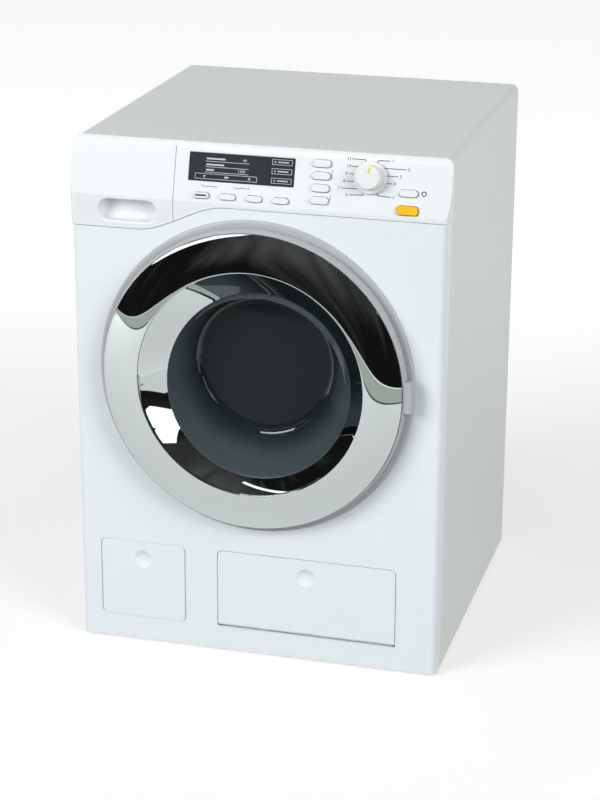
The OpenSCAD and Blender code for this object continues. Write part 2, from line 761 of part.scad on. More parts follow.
// Fixed drum housing with a mouth that meets the front panel and a bearing boss behind
module tub() color("silver") placed() out_at(0, door_z) {
    difference() {
        union() {
            translate([0, 0, -tub_y1]) cylinder(r = tub_r, h = tub_y1 - tub_y0, $fn = 96);
            translate([0, 0, -tub_y0 - 1])
                cylinder(r = mouth_r + mouth_wall, h = tub_y0 + 1 - wall, $fn = 96);
            translate([0, 0, -wall - 1.8]) cylinder(r = tub_r, h = 1.8, $fn = 96);
            translate([0, 0, -bush_y1]) cylinder(r = bush_r + 3, h = bush_y1 - tub_y1 + 1);
        }
        translate([0, 0, -tub_y1 + tub_wall])
            cylinder(r = tub_r - tub_wall, h = tub_y1 - tub_y0 - 2 * tub_wall, $fn = 96);
        translate([0, 0, -tub_y0 - tub_wall - 1]) cylinder(r = mouth_r, h = tub_y0 + 10, $fn = 96);
        translate([0, 0, -bush_y1 - 1]) cylinder(r = bush_r, h = bush_y1 + 2 - tub_y1 + tub_wall);
    }
}

// Bearing bush of the drum shaft, pressed into the tub's boss
module shaft_bush() color("goldenrod") placed() out_at(0, door_z) difference() {
    translate([0, 0, -bush_y1]) cylinder(r = bush_r, h = bush_y1 - tub_y1 + tub_wall);
    translate([0, 0, -bush_y1 - 1]) cylinder(r = shaft_r + fit, h = bush_y1 - tub_y1 + tub_wall + 2);
}

// Plate on the right-hand wall that carries the motor and the countershaft
module gear_plate() color("lightsteelblue") placed() {
    plate_y1 = gear_plate_y + gear_plate_t;
    difference() {
        union() {
            box([drive_x - motor_r - 3, gear_plate_y, motor_z - motor_r - plate_under],
                [inner_x, plate_y1, drive_z + plate_over]);
            box([inner_x - gear_plate_t, gear_plate_y - plate_foot_l, motor_z - motor_r - plate_under],
                [inner_x, plate_y1, drive_z + plate_over]);
            rod(drive_x, drive_z, counter_r + 2.5, gear_plate_y - 7, plate_y1);
        }
        rod(drive_x, drive_z, counter_r + fit, gear_plate_y - 8, plate_y1 + 1);
        rod(drive_x, motor_z, 4, gear_plate_y - 1, plate_y1 + 1);
    }
}

// Motor: a can with a nose that seats in the plate
module motor() color("silver") placed() difference() {
    union() {
        rod(drive_x, motor_z, motor_r, gear_plate_y - motor_l, gear_plate_y);
        rod(drive_x, motor_z, 4 - fit, gear_plate_y - 1, gear_plate_y + 1.8);
    }
    rod(drive_x, motor_z, motor_shaft_r + fit, gear_plate_y - motor_l + 3, gear_plate_y + 3);
}

// Outline round both pulleys, at some distance outside their running faces: an arc round the
// small one below and an arc round the large one above, which straight runs join
module belt_outline(out) polygon(concat(
    arc(0, small_pulley_r + out, 180 + belt_lean, 360 - belt_lean),
    arc(belt_span, drum_pulley_r + out, -belt_lean, 180 + belt_lean)));

// Flat rubber belt round both pulleys
module drive_belt() color([0.1, 0.1, 0.1]) placed()
    out_at(drive_x, drive_z) rotate([0, 0, belt_turn]) translate([0, 0, -pulley_y - belt_w / 2])
        linear_extrude(belt_w) difference() {
            belt_outline(fit + belt_t);
            belt_outline(fit);
        }

// Box for four cells, open towards the back cover
module battery_box() color("whitesmoke") placed() {
    difference() {
        box([box_x0, box_y0, floor_top], [box_x1, back_in, box_z1]);
        box([box_x0 + box_wall, box_y0 + box_wall, floor_top + box_wall],
            [box_x1 - box_wall, back_in + 1, box_z1 - box_wall]);
    }
}

// Four cells in two rows
module battery_cells() color("dimgray") placed() for (z = cell_z, i = [0, 1])
    translate([box_x0 + box_wall + 2 * contact_t + i * (cell_l + 0.5), cell_y, z]) rotate([0, 90, 0]) {
        cylinder(r = cell_r, h = cell_l - 1.5);
        cylinder(r = 3, h = cell_l);
    }

// Contact plates at both ends of each row
module battery_contacts() color("silver") placed() for (z = cell_z,
    x = [box_x0 + box_wall, box_x1 - box_wall - contact_t])
    box([x, cell_y - contact_half, z - contact_half],
        [x + contact_t, cell_y + contact_half, z + contact_half]);

// Cover of the battery opening, seated on the ledge of the back cover
module battery_cover() color("gainsboro") placed() difference() {
    along_y(back_in + wall / 2, back_y) rounded_box(hatch_x0 + 0.3, hatch_z0 + 0.3,
        hatch_x1 - 0.3, hatch_z1 - 0.3, 2.2);
    rod((hatch_x0 + hatch_x1) / 2, hatch_screw_z, pilot_r + 0.15, back_in, back_y + 1);
    rod((hatch_x0 + hatch_x1) / 2, hatch_screw_z, screw_head_r + 0.1, back_y - 0.6, back_y + 1);
    for (i = [-2 : 2]) box([(hatch_x0 + hatch_x1) / 2 - 8, back_y - 0.5, hatch_z0 + 8 + i * 1.6],
        [(hatch_x0 + hatch_x1) / 2 + 8, back_y + 1, hatch_z0 + 8.8 + i * 1.6]);
}

// Speaker behind the sound slots
module speaker() color([0.2, 0.2, 0.2]) placed() {
    rod(speaker_x, speaker_z, speaker_r, back_in - speaker_t, back_in);
    rod(speaker_x, speaker_z, speaker_r * 0.55, back_in - speaker_t - 5, back_in - speaker_t);
}

// Bracket behind the panel with two ears for the door's hinge pin
module hinge_bracket() color("lightgray") placed() {
    ear_z = arm_t / 2 + 0.4;
    difference() {
        union() {
            for (z = [door_z - ear_z - ear_t, door_z + ear_z])
                box([-inner_x, wall, z], [pin_x + 4, pin_y + 4.5, z + ear_t]);
            box([-inner_x, wall, door_z - ear_z - ear_t],
                [-inner_x + 1.5, pin_y + 4.5, door_z + ear_z + ear_t]);
        }
        translate([pin_x, pin_y, door_z - 30]) cylinder(r = pin_r, h = 60);
    }
}

// Steel pin that the door turns on
module hinge_pin() color("silver") placed()
    translate([pin_x, pin_y, door_z - arm_t / 2 - ear_t - 0.4])
        cylinder(r = pin_r, h = arm_t + 2 * ear_t + 0.8);

// Sprung pocket that the door's hook snaps into
module hook_keeper() color("lightgray") placed() difference() {
    keeper_h = hook_t / 2 + 3;
    pocket_h = hook_t / 2 + 0.8;
    box([tub_r + 0.4, wall, door_z - keeper_h], [hook_x1 + 4.4, hook_y + 3, door_z + keeper_h]);
    box([hook_x0 - 0.8, wall - 1, door_z - pocket_h], [hook_x1 + 2.8, hook_y + 1.4, door_z + pocket_h]);
    box([bar_x - bar_w / 2 - 0.5, wall + 3, door_z + 1], [bar_x + bar_w / 2 + 0.5, hook_y + 10, door_z + 20]);
}

// Shallow box behind the service flap
module flap_recess() color("whitesmoke") placed() {
    rx0 = flap_x0 + 3.4;
    rx1 = flap_x1 - 3.4;
    rz0 = flap_z0 + 0.2;
    rz1 = flap_z1 - 3;
    difference() {
        union() {
            box([rx0 - skin, wall, rz0 - skin], [rx1 + skin, recess_d, rz1 + skin]);
            box([rx0 - 2.9, wall, rz1 - 6], [rx1 + 2.9, wall + 1.2, rz1 + 5]);
        }
        box([rx0, wall - 1, rz0], [rx1, recess_d - skin, rz1]);
        box([flap_x0 - 1, wall - 1, flap_z0 - 2],
            [flap_x1 + 1, flap_axis_y + flap_barrel_r + 0.5, flap_axis_z + 2]);
    }
}

// ---------------------------------------------------------------- door

// White frame: side wall, back plate, a tube that reaches in through the mouth, a finger grip and
// a shelf for the clamp's screws
module door_frame() color("white") placed() out_at(0, door_z) {
    difference() {
        union() {
            rotate_extrude($fn = 96) polygon([
                [tube_r - tube_wall, -rim_y - skin - 0.2], [tube_r, -rim_y - skin - 0.2],
                [tube_r, door_back], [door_r, door_back], [door_r, door_back + 3],
                [ring_r + 0.3, ring_edge_h - 0.6], [ring_r + 0.05, ring_edge_h - 1],
                [ring_r - 2.6, ring_edge_h - 1], [ring_r - 2.6, door_back + plate_t],
                [tube_r - 0.3, door_back + plate_t], [tube_r - tube_wall, door_back - 0.8],
            ]);
            intersection() {
                ring(tube_r - tube_wall - 4, tube_r - 0.5, -rim_y - skin - 0.2, -rim_y + 1);
                translate([-door_r, 6, -20]) cube([2 * door_r, door_r, 40]);
            }
            intersection() {
                ring(ring_r - 2, seat_r, door_back + 0.4, ring_edge_h - 1);
                translate([door_r, 0, 0]) linear_extrude(crown_h) rounded(12, grip_h, 2);
            }
        }
        for (a = clamp_angles) rotate([0, 0, a]) translate([clamp_screw_r, 0, clamp_h0 - 0.2])
            cylinder(r = 0.8, h = clamp_t + 2.6);
    }
}

// Bright ring on the front: a convex band that ends in a lip
module chrome_ring() color("silver") placed() out_at(0, door_z) rotate_extrude($fn = 96) polygon(concat(
    [for (i = [0 : ring_steps]) ring_point(i / ring_steps, 0)],
    [for (i = [ring_steps : -1 : 0]) ring_point(i / ring_steps, -1)]));

// At the middle of the window's collar, which lies a little lower and to the right and leans back
module at_collar() out_at(collar_x, collar_z) translate([0, 0, collar_y]) rotate([-collar_lean, 0, 0])
    children();

// Bright funnel from the lip in to the window's collar
module chrome_funnel() color("silver") placed() difference() {
    hull() {
        out_at(0, door_z) translate([0, 0, lip_h - 1.5]) cylinder(r = lip_r + funnel_t, h = 0.4, $fn = 72);
        at_collar() cylinder(r = rim_r + funnel_t, h = 0.4, $fn = 72);
    }
    hull() {
        out_at(0, door_z) translate([0, 0, lip_h - 1.5]) cylinder(r = lip_r, h = 1, $fn = 72);
        at_collar() translate([0, 0, -1]) cylinder(r = rim_r, h = 1.4, $fn = 72);
    }
}

// Smoked window: a bowl that reaches into the machine, with a collar in front and a flange round it
module door_bowl() color([0.2, 0.22, 0.25, 0.6]) placed() difference() {
    union() {
        out_at(0, window_z) translate([0, 0, -rim_y - skin - 0.2])
            cylinder(r = rim_r + window_flange, h = skin + 0.2, $fn = 72);
        hull() {
            at_collar() translate([0, 0, -0.4]) cylinder(r = rim_r + skin, h = 0.4, $fn = 72);
            out_at(0, bowl_z) translate([0, 0, -bowl_y - skin])
                cylinder(r = bowl_r + skin, h = 0.4, $fn = 72);
        }
    }
    hull() {
        at_collar() cylinder(r = rim_r - 0.2, h = 1, $fn = 72);
        out_at(0, bowl_z) translate([0, 0, -bowl_y]) cylinder(r = bowl_r, h = 0.4, $fn = 72);
    }
}

// White ring that clamps the window from behind
module bowl_clamp() color("white") placed() difference() {
    out_at(0, door_z) translate([0, 0, clamp_h0]) cylinder(r = tube_r, h = clamp_t, $fn = 96);
    out_at(0, window_z) translate([0, 0, clamp_h0 - 1])
        cylinder(r = rim_r + skin + 0.8, h = clamp_t + 2, $fn = 72);
    for (a = clamp_angles) out_at(0, door_z) rotate([0, 0, a])
        translate([clamp_screw_r, 0, clamp_h0 - 1]) cylinder(r = 0.85, h = clamp_t + 2);
}

// Screws of the clamp
module clamp_screws() color("silver") placed() for (a = clamp_angles)
    out_at(0, door_z) rotate([0, 0, a]) translate([clamp_screw_r, 0, 0]) {
        translate([0, 0, clamp_h0 - 1]) cylinder(r = 1.7, h = 1);
        translate([0, 0, clamp_h0 - 0.1]) cylinder(r = 0.8 - fit, h = clamp_t + 2);
    }

// Curved hinge arm: it runs from the pin round the edge of its slot to the door's back
module hinge_arm() color("white") placed() translate([pin_x, pin_y, door_z - arm_t / 2])
    linear_extrude(arm_t) difference() {
        union() {
            circle(arm_boss_r);
            translate([-arm_arc_w / 2, 0]) square([arm_arc_w, arm_in + 1]);
            intersection() {
                difference() {
                    circle(arm_out);
                    circle(arm_in);
                }
                translate([-arm_arc_w / 2, -pin_y - door_back]) square([2 * arm_out, 2 * arm_out]);
            }
        }
        circle(pin_r + fit);
    }

// Hook on the door's free side
module door_hook() color("white") placed() {
    box([hook_x0, -door_back, door_z - hook_t / 2], [hook_x1, hook_y, door_z + hook_t / 2]);
    box([hook_x0, hook_y - 3, door_z - hook_t / 2], [hook_x1 + 0.9, hook_y, door_z + hook_t / 2]);
}

// ---------------------------------------------------------------- drawer and flap

// Drawer front: it wraps the left corner and follows the fascia's slope, with a finger scoop
module drawer_front() color("white") placed() difference() {
    union() {
        difference() {
            intersection() {
                along_x(-fascia_x, drawer_gap_x - seam / 2) fascia_side();
                along_y(-1, seam_y + 5) polygon(concat(
                    [[drawer_gap_x - seam / 2, slope_z - seam], [-fascia_x, slope_z - seam]],
                    sweep(-fascia_x, drawer_gap_x - seam / 2, seam)));
                linear_extrude(case_h) plan(2 * fascia_x, 0, seam_y + 5, corner_r, 0);
            }
            along_x(-fascia_x + wall, drawer_gap_x - seam / 2 - wall) fascia_inside();
        }
        along_y(0.5, scoop_back) translate([scoop_x, scoop_z])
            pill(scoop_w + 2 * skin, scoop_h + 2 * skin - 0.4);
    }
    along_y(-1, scoop_d) translate([scoop_x, scoop_z]) pill(scoop_w, scoop_h);
}

// Two-part tray behind the drawer front
module drawer_tray() color("white") placed() {
    difference() {
        box([tray_x0, scoop_back, tray_z], [tray_x1, scoop_back + tray_d, tray_z + tray_h]);
        for (side = [[tray_x0 + skin, tray_split - skin / 2], [tray_split + skin / 2, tray_x1 - skin]])
            box([side[0], scoop_back + skin, tray_z + skin],
                [side[1], scoop_back + tray_d - skin, tray_z + tray_h + 1]);
    }
}

// Drop-down service flap with its barrel and two pivot pins along the lower edge
module access_flap() color("white") placed() {
    x0 = flap_x0 + part_gap;
    x1 = flap_x1 - part_gap;
    difference() {
        along_y(0, flap_t) difference() {
            union() {
                rounded_box(x0, flap_z0 + part_gap, x1, flap_z1 - part_gap, corner_r - part_gap);
                translate([x0, flap_axis_z]) square([x1 - x0, 10]);
            }
            translate([x0 - 1, flap_z0 - 1]) square([x1 - x0 + 2, flap_axis_z - flap_z0 + 1]);
        }
        translate([(x0 + x1) / 2, -dimple_out, dimple_z]) sphere(dimple_ball);
    }
    along_x(x0 + 0.2, x1 - 0.2) translate([flap_axis_y, flap_axis_z]) circle(flap_barrel_r);
    along_x(flap_x0 - flap_pin_l, flap_x1 + flap_pin_l)
        translate([flap_axis_y, flap_axis_z]) circle(flap_pin_r);
}

// ---------------------------------------------------------------- drum and drive

// Turning drum: perforated wall, open mouth, rear wall with a hub
module drum() color("silver") placed() out_at(0, door_z) difference() {
    union() {
        ring(drum_r - drum_wall, drum_r, -drum_y1, -drum_y0);
        ring(drum_mouth_r, drum_r - 0.5, -drum_y0 - drum_wall, -drum_y0);
        translate([0, 0, -drum_y1]) cylinder(r = drum_r - 0.5, h = drum_wall, $fn = 96);
        translate([0, 0, -drum_y1]) cylinder(r = hub_r, h = hub_t);
    }
    translate([0, 0, -drum_y1 - 1]) cylinder(r = shaft_r + fit, h = hub_t);
    for (a = [0 : 360 / drum_holes : 359], i = [0 : 4]) rotate([0, 0, a + (i % 2) * 180 / drum_holes])
        translate([drum_r - drum_wall - 1, 0, -drum_y0 - 14 - i * 18]) rotate([0, 90, 0])
            cylinder(r = drum_hole_r, h = drum_wall + 2);
}

// Three lifters inside the drum
module drum_lifters() color("white") placed() out_at(0, door_z) for (a = [90, 210, 330]) rotate([0, 0, a])
    difference() {
        translate([lifter_r, 0, -drum_y1 + drum_wall]) linear_extrude(lifter_l) polygon([
            [0, -3], [12, -8], [12, 8], [0, 3],
        ]);
        ring(drum_r - drum_wall - fit, drum_r + 8, -drum_y1, -drum_y0);
    }

// Steel shaft of the drum
module drum_shaft() color("silver") placed() rod(0, door_z, shaft_r, drum_y1 - hub_t + 2, shaft_y1);

// Pulley on the drum shaft
module drum_pulley() color("ivory") placed() pulley(0, door_z, drum_pulley_r, shaft_r);

// A flanged pulley, thinned between its hub and its rim where it is large
module pulley(x, z, r, bore) out_at(x, z) translate([0, 0, -pulley_y]) difference() {
    union() {
        translate([0, 0, -pulley_w / 2]) cylinder(r = r, h = pulley_w, $fn = 96);
        for (side = [-1, 1]) translate([0, 0, side * (pulley_w - pulley_flange) / 2 - pulley_flange / 2])
            cylinder(r = r + belt_t + 0.4, h = pulley_flange, $fn = 96);
    }
    translate([0, 0, -pulley_w]) cylinder(r = bore + fit, h = 2 * pulley_w);
    if (r > 5 * bore) for (side = [-1, 1]) translate([0, 0, side * pulley_w / 2 - 2])
        ring(bore + 3, r - 3, 0, 4);
}

// Countershaft between the gear and the small pulley
module counter_shaft() color("silver") placed()
    rod(drive_x, drive_z, counter_r, gear_plate_y - 6, pulley_y + pulley_w / 2 + 1);

// Large gear on the countershaft
module drive_gear() color("ivory") placed() rod_gear(drive_z, gear_teeth, 90 - 180 / gear_teeth, counter_r);

// Small pulley on the countershaft
module counter_pulley() color("ivory") placed() pulley(drive_x, drive_z, small_pulley_r, counter_r);

// Pinion on the motor's shaft
module motor_pinion() color("goldenrod") placed() rod_gear(motor_z, pinion_teeth, 90, motor_shaft_r);

// Shaft of the motor
module motor_shaft() color("silver") placed()
    rod(drive_x, motor_z, motor_shaft_r, gear_plate_y - motor_l + 3.5, gear_y + gear_w / 2 + 1);

// A spur gear with straight-sided teeth, turned so that one tooth points along the given angle
module rod_gear(z, teeth, angle, bore) out_at(drive_x, z) translate([0, 0, -gear_y - gear_w / 2])
    linear_extrude(gear_w) difference() {
        rotate(angle) polygon([for (i = [0 : teeth - 1], k = [0 : 3])
            let (a = (i + tooth_share[k] / 2) * 360 / teeth, r = gear_module * (teeth / 2 + tooth_reach[k]))
            [r * cos(a), r * sin(a)]]);
        circle(bore + fit);
    }

// ---------------------------------------------------------------- dial, buttons and release

// Dial with a skirt and a grip
module knob() color("white") placed() on_fascia(knob_x, knob_s) rotate_extrude() polygon([
    [spindle_r + fit, seam], [skirt_r, seam], [skirt_r, 1.5], [skirt_r - 0.5, 2], [grip_r + 0.3, 2.2],
    [grip_r - 0.2, knob_h - 0.6], [grip_r - 0.8, knob_h], [0, knob_h], [0, knob_h - 2],
    [spindle_r + fit, knob_h - 2],
]);

// Spindle of the dial
module knob_spindle() color("gray") placed() on_fascia(knob_x, knob_s)
    translate([0, 0, board_back - switch_t + 2])
        cylinder(r = spindle_r, h = knob_h - 2.1 - board_back + switch_t - 2);

// One push button: a cap through its hole and a flange behind the fascia's skin
module push_button(b) on_fascia(b[0], b[1]) {
    translate([0, 0, -wall - 0.1]) linear_extrude(wall + cap_h - 0.2) button_outline(b, 0);
    translate([0, 0, cap_h - 0.4]) linear_extrude(0.4) button_outline(b, -0.3);
    translate([0, 0, -wall - 0.1 - flange_t]) linear_extrude(flange_t) button_outline(b, flange_out);
}

module row_button(i) color("white") placed() push_button(buttons[i]);
module column_button(i) color("white") placed() push_button(buttons[4 + i]);
module single_button() color("white") placed() push_button(buttons[8]);

// Yellow door button with the rod that works the release bar
module door_button() color("gold") placed() {
    push_button(buttons[9]);
    on_fascia(single_x, door_button_s) translate([0, 0, -door_rod_l])
        cylinder(r = door_rod_r, h = door_rod_l - wall - 0.5);
}

// Bar that the door button pushes down on to the hook
module release_bar() color("lightgray") placed()
    box([bar_x - bar_w / 2, bar_y - bar_t / 2, bar_z0],
        [bar_x + bar_w / 2, bar_y + bar_t / 2, bar_z1]);

cabinet();
front_panel();
control_fascia();
back_cover();
base_plate();
foot_pads();
cover_screws();
display_window();
circuit_board();
keypad_mat();
program_switch();
drawer_guide();
tub();
shaft_bush();
gear_plate();
motor();
drive_belt();
battery_box();
battery_cells();
battery_contacts();
battery_cover();
speaker();
hinge_bracket();
hinge_pin();
hook_keeper();
flap_recess();
door_frame();
chrome_ring();
chrome_funnel();
door_bowl();
bowl_clamp();
clamp_screws();
hinge_arm();
door_hook();
drawer_front();
drawer_tray();
access_flap();
drum();
drum_lifters();
drum_shaft();
drum_pulley();
counter_shaft();
drive_gear();
counter_pulley();
motor_pinion();
motor_shaft();
knob();
knob_spindle();
release_bar();
door_button();
single_button();
row_button(0);  // row_button_1
row_button(1);  // row_button_2
row_button(2);  // row_button_3
row_button(3);  // row_button_4
column_button(0);  // column_button_1
column_button(1);  // column_button_2
column_button(2);  // column_button_3
column_button(3);  // column_button_4
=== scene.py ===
"""Dresses the toy washing machine: its shells, door, controls, drum and studio."""

import logging
import math
from collections.abc import Callable, Iterator, Sequence
from contextlib import contextmanager
from dataclasses import dataclass, field
from enum import Enum

import bmesh
import bpy
from mathutils import Matrix, Vector


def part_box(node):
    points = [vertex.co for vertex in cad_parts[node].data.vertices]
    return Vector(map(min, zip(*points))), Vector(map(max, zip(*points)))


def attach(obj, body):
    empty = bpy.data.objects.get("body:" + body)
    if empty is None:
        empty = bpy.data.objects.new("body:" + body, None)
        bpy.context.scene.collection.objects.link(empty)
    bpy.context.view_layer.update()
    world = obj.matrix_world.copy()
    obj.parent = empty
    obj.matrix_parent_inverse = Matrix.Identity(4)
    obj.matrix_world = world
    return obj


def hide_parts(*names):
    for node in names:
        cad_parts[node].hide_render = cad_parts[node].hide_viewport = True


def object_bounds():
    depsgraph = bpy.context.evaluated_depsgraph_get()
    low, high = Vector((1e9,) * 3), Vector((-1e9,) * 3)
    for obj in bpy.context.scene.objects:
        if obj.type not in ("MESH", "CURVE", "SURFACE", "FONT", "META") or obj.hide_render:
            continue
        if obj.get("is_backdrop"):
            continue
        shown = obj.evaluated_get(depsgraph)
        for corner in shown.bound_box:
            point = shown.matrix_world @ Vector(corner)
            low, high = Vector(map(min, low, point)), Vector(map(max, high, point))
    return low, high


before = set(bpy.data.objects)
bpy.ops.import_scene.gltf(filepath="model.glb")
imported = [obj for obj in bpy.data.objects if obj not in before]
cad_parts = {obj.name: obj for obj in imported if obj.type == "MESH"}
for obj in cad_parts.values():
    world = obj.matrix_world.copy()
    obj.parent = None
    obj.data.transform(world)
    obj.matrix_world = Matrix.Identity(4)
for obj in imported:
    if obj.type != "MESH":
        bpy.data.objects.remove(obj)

LOG = logging.getLogger("washing_machine")
MM = 0.001
CAD_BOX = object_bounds()
WHITE = (1.0, 1.0, 1.0)
Point = tuple[float, float]
Colour = tuple[float, float, float]
Solid = bpy.types.Object


# ---------------------------------------------------------------- places


@dataclass(frozen=True)
class Casework:
    """Sizes that several sub-assemblies share, in millimetres. The hair keeps cutting faces apart."""

    width: float = 184.4
    depth: float = 180.0
    height: float = 260.0
    wall: float = 2.2
    foot: float = 1.0
    seam_depth: float = 10.0
    seam: float = 0.3
    fascia_half: float = 93.0
    corner: float = 3.0
    top_corner: float = 4.0
    bend: float = 233.0
    slant: float = math.radians(16.3)
    slant_length: float = 26.0
    chamfer_depth: float = 9.6
    panel_top: float = 230.9
    drawer_low: float = 217.3
    sweep: Point = (-59.0, -15.0)
    drawer_gap: float = -40.7
    seat_height: float = 1.5
    hair: float = 0.004

    @property
    def half(self) -> float:
        """Half of the casing's width."""
        return self.width / 2

    @property
    def inner(self) -> float:
        """Distance of the side walls' inner faces from the middle."""
        return self.half - self.wall

    @property
    def slope_top(self) -> Point:
        """Depth and height of the slanted face's upper edge."""
        rise = self.slant_length
        return rise * math.sin(self.slant), self.bend + rise * math.cos(self.slant)

    def panel_frame(self) -> Matrix:
        """Returns the move from the panel's millimetres to the part's metres."""
        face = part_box("front_panel")[0][1] + self.seat_height * MM
        return Matrix.Translation((0, face, 0)) @ Matrix.Scale(MM, 4)

    def out_at(self, x: float, z: float) -> Matrix:
        """Returns a frame at x, z on the panel whose own z points out of the front."""
        return Matrix.Translation((x, 0, z)) @ Matrix.Rotation(math.pi / 2, 4, "X")

    def on_fascia(self, x: float, up: float) -> Matrix:
        """Returns a frame at x on the slanted face, up from its lower edge, with z pointing out."""
        lean = Matrix.Rotation(math.pi / 2 - self.slant, 4, "X")
        return Matrix.Translation((x, 0, self.bend)) @ lean @ Matrix.Translation((0, up, 0))

    def edge_height(self, x: float) -> float:
        """Height of the fascia's lower edge at x: a smooth sweep from the drawer to the panel's top."""
        left, right = self.sweep
        share = min(1.0, max(0.0, (x - left) / (right - left)))
        return self.drawer_low + (self.panel_top - self.drawer_low) * share * share * (3 - 2 * share)

    def sweep_points(self, start: float, end: float, up: float, steps: int = 24) -> list[Point]:
        """Returns points along that edge from start to end, raised by up."""
        xs = [start + (end - start) * i / steps for i in range(steps + 1)]
        return [(x, self.edge_height(x) + up) for x in xs]


CASE = Casework()


# ---------------------------------------------------------------- the bench


class Axis(Enum):
    """Direction in which an outline is given its depth."""

    X = "x"
    Y = "y"
    Z = "z"


class Cut(Enum):
    """How one solid changes another."""

    AWAY = "DIFFERENCE"
    JOIN = "UNION"
    KEEP = "INTERSECT"


def both(test: Callable[[Vector], bool]) -> Callable[[Vector, Vector], bool]:
    """Returns a test of an edge that both of its ends have to pass."""
    return lambda a, b: test(a) and test(b)


class Bench:
    """The modelling operations, as a maker would use them by hand. Sizes are in millimetres."""

    def clear(self) -> None:
        """Deselects everything."""
        bpy.ops.object.select_all(action="DESELECT")

    def take(self, *solids: Solid) -> None:
        """Selects only these solids and makes the first one active.

        Args:
            solids: The solids to select.
        """
        self.clear()
        for solid in solids:
            solid.select_set(True)
        bpy.context.view_layer.objects.active = solids[0]

    @contextmanager
    def editing(self, solid: Solid, mode: str = "VERT") -> Iterator[None]:
        """Opens a solid in edit mode with nothing selected, and closes it afterwards.

        Args:
            solid: The solid to edit.
            mode: The kind of element that is selected, VERT, EDGE or FACE.
        """
        self.take(solid)
        bpy.ops.object.mode_set(mode="EDIT")
        bpy.ops.mesh.select_mode(type=mode)
        bpy.ops.mesh.select_all(action="DESELECT")
        yield
        bpy.ops.object.mode_set(mode="OBJECT")

    def pick_edges(self, solid: Solid, wanted: Callable[[Vector, Vector], bool]) -> None:
        """Selects the edges whose two ends satisfy a test, in edit mode.

        Args:
            solid: The solid in edit mode.
            wanted: Takes the places of an edge's ends.
        """
        shape = bmesh.from_edit_mesh(solid.data)
        for edge in shape.edges:
            edge.select_set(wanted(edge.verts[0].co, edge.verts[1].co))
        bmesh.update_edit_mesh(solid.data)

    def block(self, low: Sequence[float], high: Sequence[float]) -> Solid:
        """Adds a block between two opposite corners.

        Args:
            low: Its lowest corner.
            high: Its highest corner.

        Returns:
            The new solid.
        """
        self.clear()
        size = [b - a for a, b in zip(low, high)]
        middle = [(a + b) / 2 for a, b in zip(low, high)]
        bpy.ops.mesh.primitive_cube_add(size=1, location=middle)
        solid = bpy.context.object
        solid.scale = size
        self.settle(solid)
        return solid

    def rod(self, radius: float, start: float, end: float, place: Sequence[float] = (0, 0),
            axis: Axis = Axis.Z, sides: int = 64) -> Solid:
        """Adds a round rod along an axis.

        Args:
            radius: Its radius.
            start: Where it starts along the axis.
            end: Where it ends.
            place: Its middle in the other two directions, in their alphabetical order.
            axis: The axis that it lies along.
            sides: How many faces go round it.

        Returns:
            The new solid.
        """
        self.clear()
        middle = (start + end) / 2
        spots = {Axis.Z: (*place, middle), Axis.Y: (place[0], middle, place[1]), Axis.X: (middle, *place)}
        turns = {Axis.Z: (0, 0, 0), Axis.Y: (math.pi / 2, 0, 0), Axis.X: (0, math.pi / 2, 0)}
        bpy.ops.mesh.primitive_cylinder_add(vertices=sides, radius=radius, depth=end - start,
                                            location=spots[axis], rotation=turns[axis])
        solid = bpy.context.object
        self.settle(solid)
        return solid

    def ball(self, radius: float, place: Sequence[float]) -> Solid:
        """Adds a smooth ball.

        Args:
            radius: Its radius.
            place: Its middle.

        Returns:
            The new solid.
        """
        self.clear()
        bpy.ops.mesh.primitive_uv_sphere_add(segments=96, ring_count=64, radius=radius, location=place)
        solid = bpy.context.object
        self.settle(solid)
        return solid

    def outline(self, points: Sequence[Point], closed: bool = True) -> Solid:
        """Draws an outline on the x-y plane, one extruded point after another.

        Args:
            points: Its corners in order.
            closed: Whether the last corner joins the first one in a face.

        Returns:
            The outline, as a flat mesh.
        """
        self.clear()
        bpy.ops.mesh.primitive_plane_add(size=1)
        solid = bpy.context.object
        with self.editing(solid):
            bpy.ops.mesh.select_all(action="SELECT")
            bpy.ops.mesh.merge(type="CENTER")
            bpy.ops.transform.translate(value=(points[0][0], points[0][1], 0))
            for (x0, y0), (x1, y1) in zip(points, points[1:]):
                step = {"value": (x1 - x0, y1 - y0, 0)}
                bpy.ops.mesh.extrude_vertices_move(TRANSFORM_OT_translate=step)
            if closed:
                bpy.ops.mesh.select_all(action="SELECT")
                bpy.ops.mesh.edge_face_add()
        return solid

    def prism(self, points: Sequence[Point], start: float, end: float, axis: Axis = Axis.Y) -> Solid:
        """Gives an outline a depth.

        Args:
            points: The outline's corners, in the other two directions in their alphabetical order.
            start: Where the prism starts along the axis.
            end: Where it ends.
            axis: The axis of its depth.

        Returns:
            The new solid.
        """
        solid = self.outline(points)
        with self.editing(solid, "FACE"):
            bpy.ops.mesh.select_all(action="SELECT")
            bpy.ops.mesh.extrude_region_move(TRANSFORM_OT_translate={"value": (0, 0, end - start)})
            bpy.ops.mesh.select_all(action="SELECT")
            bpy.ops.mesh.normals_make_consistent(inside=False)
        turns = {
            Axis.Z: Matrix.Translation((0, 0, start)),
            Axis.Y: Matrix.Translation((0, end, 0)) @ Matrix.Rotation(math.pi / 2, 4, "X"),
            Axis.X: Matrix.Translation((start, 0, 0)) @ Matrix(((0, 0, 1, 0), (1, 0, 0, 0), (0, 1, 0, 0),
                                                                (0, 0, 0, 1))),
        }
        return self.put(solid, turns[axis])

